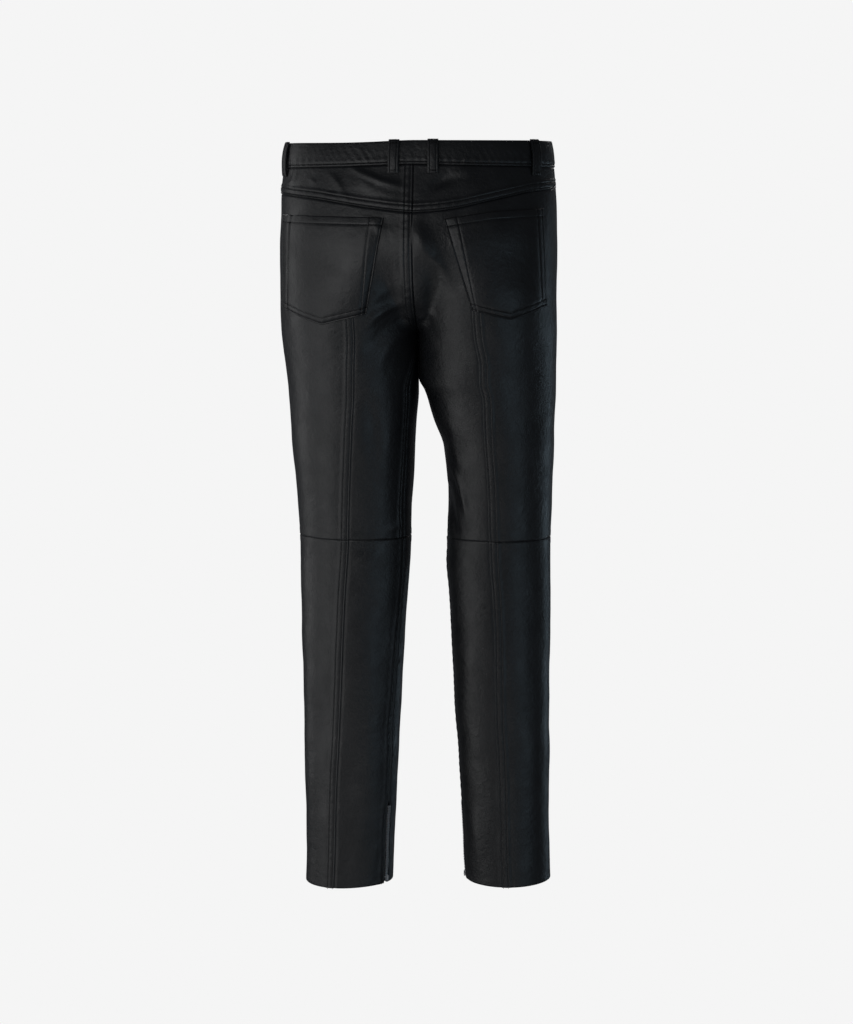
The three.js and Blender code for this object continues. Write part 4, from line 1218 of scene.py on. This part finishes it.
end_tree(chain, joined.outputs["Geometry"], given["Metal"])


def grown(name, rows, tree, values=None, outward=None):
    """Runs a node tree on rows of points and keeps what it makes as a plain mesh."""
    verts, edges, start = [], [], 0
    for row in rows:
        verts += (np.asarray(row) * MM).tolist()
        edges += [(start + k, start + k + 1) for k in range(len(row) - 1)]
        start += len(row)
    path = bpy.data.meshes.new(name + "_path")
    path.from_pydata(verts, edges, [])
    if outward is not None:
        layer = path.attributes.new("outward", "FLOAT_VECTOR", "POINT")
        layer.data.foreach_set("vector", outward.ravel())
    carrier = bpy.data.objects.new(name + "_path", path)
    scene.collection.objects.link(carrier)
    modifier = carrier.modifiers.new("rows", "NODES")
    modifier.node_group = tree
    for key, value in (values or {}).items():
        modifier[key] = value
    shape = carrier.evaluated_get(bpy.context.evaluated_depsgraph_get())
    mesh = bpy.data.meshes.new_from_object(shape)
    carrier.modifiers.remove(modifier)
    bpy.data.objects.remove(carrier)
    mesh.name = name
    piece = bpy.data.objects.new(name, mesh)
    scene.collection.objects.link(piece)
    return piece


def metal_piece(piece, *nodes):
    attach(piece, "root")
    if nodes:
        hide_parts(*nodes)


def inseam_grid(side, z, across, out):
    """Points at distances across the inseam: one side of it belongs to the front panel."""
    shape = np.broadcast(z, across).shape
    z, across = np.broadcast_to(z, shape), np.broadcast_to(across, shape)
    out = np.broadcast_to(out, shape)
    front = np.clip(step_along(side, np.ones(shape), z, np.minimum(across, 0)), 0, 1)
    back = np.clip(step_along(side, np.zeros(shape), z, np.maximum(across, 0)), 0, 1)
    front_points = leather_points(side, front, z, out)
    back_points = leather_points(side, back, z, out)
    return np.where((across < 0)[..., None], front_points, back_points)


def tape_piece(name, face, back, mirrored, node):
    tape = wall_piece(name, face, back, mirrored)
    tape.data.materials.append(tape_cloth)
    metal_piece(tape, node)


for side in ("left", "right"):
    hem = HEMS[side]["inner"]
    z = np.linspace(hem + ZIP_LENGTH - 5, hem + 1, TAPE_ROWS)
    across = (ZIP_WIDTH / 2 - SEAM_GAP / 2) * np.array(TAPE_COLUMNS)
    face = to_world(side, inseam_grid(side, z[:, None], across, TAPE_FACE_OUT))
    back = to_world(side, inseam_grid(side, z[:, None], across, TAPE_BACK_OUT))
    tape_piece(f"zip_tape_{side}", face, back, side == "right", f"ankle_zip_{side}")
    # the chain ends above the slider, and a second line further out gives its teeth their way out
    line = to_world(side, inseam_grid(side, z, 0.3, CHAIN_OUT))[:-5]
    beyond = to_world(side, inseam_grid(side, z, 0.3, 5.5))[:-5]
    outward = (beyond - line) / np.linalg.norm(beyond - line, axis=-1, keepdims=True)
    metal_piece(grown(f"zip_teeth_{side}", [line], chain, outward=outward))

tape_depth = (FLY_DEPTH - FLY_ZIP_WALL) / 2
fly_face = fly_grid(FLY_ZIP_WIDTH, FLY_ZIP_LENGTH, tape_depth, 5)
fly_back = fly_grid(FLY_ZIP_WIDTH, FLY_ZIP_LENGTH, tape_depth + FLY_TAPE_WALL, 5)
tape_piece("fly_zip_tape", fly_face, fly_back, True, "fly_zip")
line = fly_back[:, 2] + np.array([0, FLY_CHAIN_OUT, 0])
outward = np.broadcast_to(np.array([0.0, 1.0, 0.0]), line.shape)
flat_teeth = {chain_inputs["Tooth size"]: (TOOTH_REACH * MM, FLY_TOOTH_DEPTH * MM, TOOTH_HEIGHT * MM)}
metal_piece(grown("fly_zip_teeth", [line], chain, flat_teeth, outward))


# The sliders
# Each ankle zip is closed with its slider at the hem: two cast plates, wide where the teeth part
# and narrower below, joined by a wedge, with a small bridge that would hold a pull.
SLIDER_WIDTH = 7.5
SLIDER_LENGTH = 9.0
SLIDER_DEPTH = 3.0
ZIP_PROUD = 0.2
SLIDER_ROUNDING = 0.00025


def prism(verts, faces, outline, low, high):
    """Adds a closed prism: an outline in x and z between two depths in y."""
    start, count = len(verts), len(outline)
    verts += [(x, low, z) for x, z in outline] + [(x, high, z) for x, z in outline]
    faces.append(tuple(start + k for k in range(count)))
    faces.append(tuple(start + count + k for k in reversed(range(count))))
    for k in range(count):
        after = (k + 1) % count
        faces.append((start + k, start + count + k, start + count + after, start + after))


w, h, d = SLIDER_WIDTH / 2, SLIDER_LENGTH / 2, SLIDER_DEPTH / 2
# outlines seen from outside the leg
plate = [
    (-w * 0.62, -h), (w * 0.62, -h), (w * 0.75, -h * 0.5), (w, h * 0.45), (w * 0.86, h * 0.9),
    (w * 0.4, h), (-w * 0.4, h), (-w * 0.86, h * 0.9), (-w, h * 0.45), (-w * 0.75, -h * 0.5),
]
wedge = [(-0.5, -h * 0.2), (0.5, -h * 0.2), (1.1, h * 0.8), (-1.1, h * 0.8)]
bridge = [(-0.6, -h * 0.55), (0.6, -h * 0.55), (0.6, h * 0.65), (-0.6, h * 0.65)]
for side in ("left", "right"):
    # a place just behind the seam, and one further out that gives the way out of the leg
    z = np.array([HEMS[side]["inner"] + 1 + h])
    here = to_world(side, inseam_grid(side, z, 0.01, ZIP_PROUD + 2 * SEAM_GAP + d)[0])
    beyond = to_world(side, inseam_grid(side, z, 0.01, 30.0)[0])
    away = (beyond - here) / np.linalg.norm(beyond - here)
    turned = Matrix.Rotation(math.atan2(-away[0], away[1]), 4, "Z")
    placed = Matrix.Translation(here * MM) @ turned @ Matrix.Scale(MM, 4)
    verts, faces = [], []
    prism(verts, faces, plate, d * 0.05, d * 0.6)
    prism(verts, faces, plate, -d, -d * 0.5)
    prism(verts, faces, wedge, -d * 0.6, d * 0.1)
    prism(verts, faces, bridge, d * 0.5, d)
    slider = mesh_piece(f"zip_slider_{side}", [placed @ Vector(v) for v in verts], faces)
    slider.data.materials.append(gunmetal)
    rounding = slider.modifiers.new("rounded edges", "BEVEL")
    rounding.width = SLIDER_ROUNDING
    rounding.segments = 2
    metal_piece(slider, f"ankle_slider_{side}")


# The waist button
# A stamped metal tack button at the front of the waistband: a rolled rim round a shallow dish.
# Its stem goes through both ends of the band and doesn't show.
BUTTON_RADIUS = 8.5
BUTTON_THICKNESS = 3.4
BUTTON_SIDES = 64
at_front = np.array([1.0])
z = (band_top("left", at_front) + band_seam("left", at_front)) / 2
centre = leather_points("left", at_front, z, BAND_PROUD + SEAM_GAP + BUTTON_THICKNESS / 2)[0]
centre[0] = 0
facing_front = normals("left", at_front, z)[0] * np.array([0, 1, 1])
rings = [  # from the middle of its back round the rim to the middle of its front
    (0, -0.5), (0.8, -0.5), (0.93, -0.45), (0.99, -0.3), (1, 0), (0.99, 0.3), (0.95, 0.44), (0.88, 0.5),
    (0.81, 0.46), (0.76, 0.36), (0.7, 0.22), (0.6, 0.14), (0.45, 0.12), (0.3, 0.16), (0.15, 0.2), (0, 0.21),
]
verts, faces = [], []
for radius, rise in rings:
    for k in range(BUTTON_SIDES if radius else 1):
        angle = 2 * math.pi * k / BUTTON_SIDES
        r = radius * BUTTON_RADIUS
        verts.append((r * math.cos(angle), r * math.sin(angle), rise * BUTTON_THICKNESS))
last_ring = 1 + (len(rings) - 3) * BUTTON_SIDES
for k in range(BUTTON_SIDES):
    after = (k + 1) % BUTTON_SIDES
    faces.append((0, 1 + after, 1 + k))
    for a in range(1, last_ring, BUTTON_SIDES):
        b = a + BUTTON_SIDES
        faces.append((a + k, a + after, b + after, b + k))
    faces.append((last_ring + k, last_ring + after, len(verts) - 1))
turned = Vector(facing_front.tolist()).to_track_quat("Z", "Y").to_matrix().to_4x4()
placed = Matrix.Translation(centre * MM) @ turned @ Matrix.Scale(MM, 4)
button = mesh_piece("tack_button", [placed @ Vector(v) for v in verts], faces)
button.data.shade_smooth()
button.data.materials.append(gunmetal)
metal_piece(button, "waist_button")


# The sewing
# Black bonded thread, 0.9 mm thick, in straight lockstitches that sink into the leather along
# every topstitched row, and dense tacks across both ends of each belt loop.
STITCH_LENGTH = 3.0
STITCH_PITCH = 3.6
TACK_PITCH = 0.9
THREAD = 0.9
THREAD_BLACK = "#08080a"
THREAD_TWIST = 0.0006
THREAD_RELIEF = 0.0001
thread, tree, shader, on_piece = new_material("black bonded polyester thread")
shader.inputs["Base Color"].default_value = linear(THREAD_BLACK)
shader.inputs["Roughness"].default_value = 0.75
shader.inputs["Specular IOR Level"].default_value = 0.25
twist = add_node(
    tree, "ShaderNodeTexNoise", values={"Scale": 1 / THREAD_TWIST, "Detail": 1.0},
    links={"Vector": on_piece})
twist_bump = add_node(
    tree, "ShaderNodeBump", values={"Strength": 0.5, "Distance": THREAD_RELIEF},
    links={"Height": twist.outputs["Fac"]})
tree.links.new(twist_bump.outputs["Normal"], shader.inputs["Normal"])

sewing, sewing_inputs, given = new_tree("row of stitches", {
    "Pitch": ("Float", STITCH_PITCH * MM),
    "Thread radius": ("Float", THREAD / 2 * MM),
    "Stretch": ("Vector", (1, 1, STITCH_LENGTH / THREAD)),
    "Thread": ("Material", thread),
})
places, along_row = points_on_rows(sewing, given, "Pitch")
bead = add_node(
    sewing, "GeometryNodeMeshUVSphere", values={"Segments": 6, "Rings": 5},
    links={"Radius": given["Thread radius"]})
stitch = smooth_shape(sewing, bead.outputs["Mesh"], given["Stretch"])
stitches = add_node(
    sewing, "GeometryNodeInstanceOnPoints",
    links={"Points": places, "Instance": stitch, "Rotation": along_row})
end_tree(sewing, stitches.outputs["Instances"], given["Thread"])
rows = grown("stitching", [row for row in stitch_paths if len(row) > 1], sewing)
tacks = grown("belt_loop_tacks", tack_paths, sewing, {
    sewing_inputs["Pitch"]: TACK_PITCH * MM, sewing_inputs["Stretch"]: (1, 1, 1.2)})
for piece in (rows, tacks):
    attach(piece, "root")


# The stage
# A plain pale floor runs into a pale backdrop all round. Only the camera sees them, so that the
# black leather keeps its depth. Soft boxes stand all round: the right ones are a little cool, which
# gives the right leg its blue green tint, and two high ones light the front.
STAGE_COLOUR = "#f5f5f5"
FLOOR_HEIGHT = -1.45
STAGE_REACH = 16.0
paper = bpy.data.materials.new("seamless pale paper")
paper.use_nodes = True
tree = paper.node_tree
tree.nodes.remove(tree.nodes["Principled BSDF"])
glow = add_node(tree, "ShaderNodeEmission", values={"Color": linear(STAGE_COLOUR), "Strength": 1.0})
tree.links.new(glow.outputs["Emission"], tree.nodes["Material Output"].inputs["Surface"])
corners = [(-1, -1), (1, -1), (1, 1), (-1, 1)]
low, high = (
    [(x * STAGE_REACH, y * STAGE_REACH, z) for x, y in corners] for z in (FLOOR_HEIGHT, STAGE_REACH))
walls = [(0, 4, 5, 1), (1, 5, 6, 2), (2, 6, 7, 3), (3, 7, 4, 0), (4, 7, 6, 5)]
for sheet in (mesh_piece("floor", low, [(0, 1, 2, 3)]), mesh_piece("backdrop", low + high, walls)):
    sheet.data.materials.append(paper)
    for kind in ("diffuse", "glossy", "transmission", "shadow"):
        setattr(sheet, f"visible_{kind}", False)

ROOM_COLOUR = "#e9eef6"
COOL_LIGHT = "#c4e0f2"
ROOM_STRENGTH = 0.085
scene.world = bpy.data.worlds.new("studio room")
scene.world.use_nodes = True
room = scene.world.node_tree.nodes["Background"]
room.inputs["Color"].default_value = linear(ROOM_COLOUR)
room.inputs["Strength"].default_value = ROOM_STRENGTH
AIM = Vector((0, 0, -0.5))
BOX_COLUMNS = ("name", "turn", "rise", "distance", "size", "power", "colour")
BOX_ROWS = [  # turn: degrees from behind the trousers towards the wearer's left
    ("left_box", 95, 5, 2.0, (1.0, 2.2), 8.2, None),
    ("near_box", 64, -4, 0.75, (0.4, 1.6), 0.6, None),
    ("back_box", 48, -8, 0.75, (0.4, 1.3), 0.6, None),
    ("seat_box", 22, 19, 1.0, (0.7, 0.8), 2.0, None),
    ("low_box", 50, -24, 1.6, (1.0, 0.6), 1.3, None),
    ("floor_box", -4, -38, 1.5, (0.8, 0.5), 1.1, None),
    ("right_box", -44, -12, 2.0, (0.8, 1.4), 3.2, COOL_LIGHT),
    ("right_strip", -122, -10, 2.2, (0.3, 1.4), 3.2, COOL_LIGHT),
    ("front_box", 165, 46, 2.4, (1.4, 1.2), 26.0, None),
    ("front_strip", -160, 40, 2.4, (0.8, 1.4), 14.0, None),
]
for box in named_rows(BOX_COLUMNS, BOX_ROWS):
    soft_box = bpy.data.lights.new(box["name"], "AREA")
    soft_box.shape = "RECTANGLE"
    soft_box.size, soft_box.size_y = box["size"]
    soft_box.energy = box["power"]
    if box["colour"]:
        soft_box.color = linear(box["colour"])[:3]
    light = bpy.data.objects.new(box["name"], soft_box)
    light.visible_camera = False
    turn, rise = math.radians(box["turn"]), math.radians(box["rise"])
    way = Vector((math.sin(turn) * math.cos(rise), math.cos(turn) * math.cos(rise), math.sin(rise)))
    light.location = AIM + way * box["distance"]
    light.rotation_euler = (-way).to_track_quat("-Z", "Y").to_euler()
    scene.collection.objects.link(light)
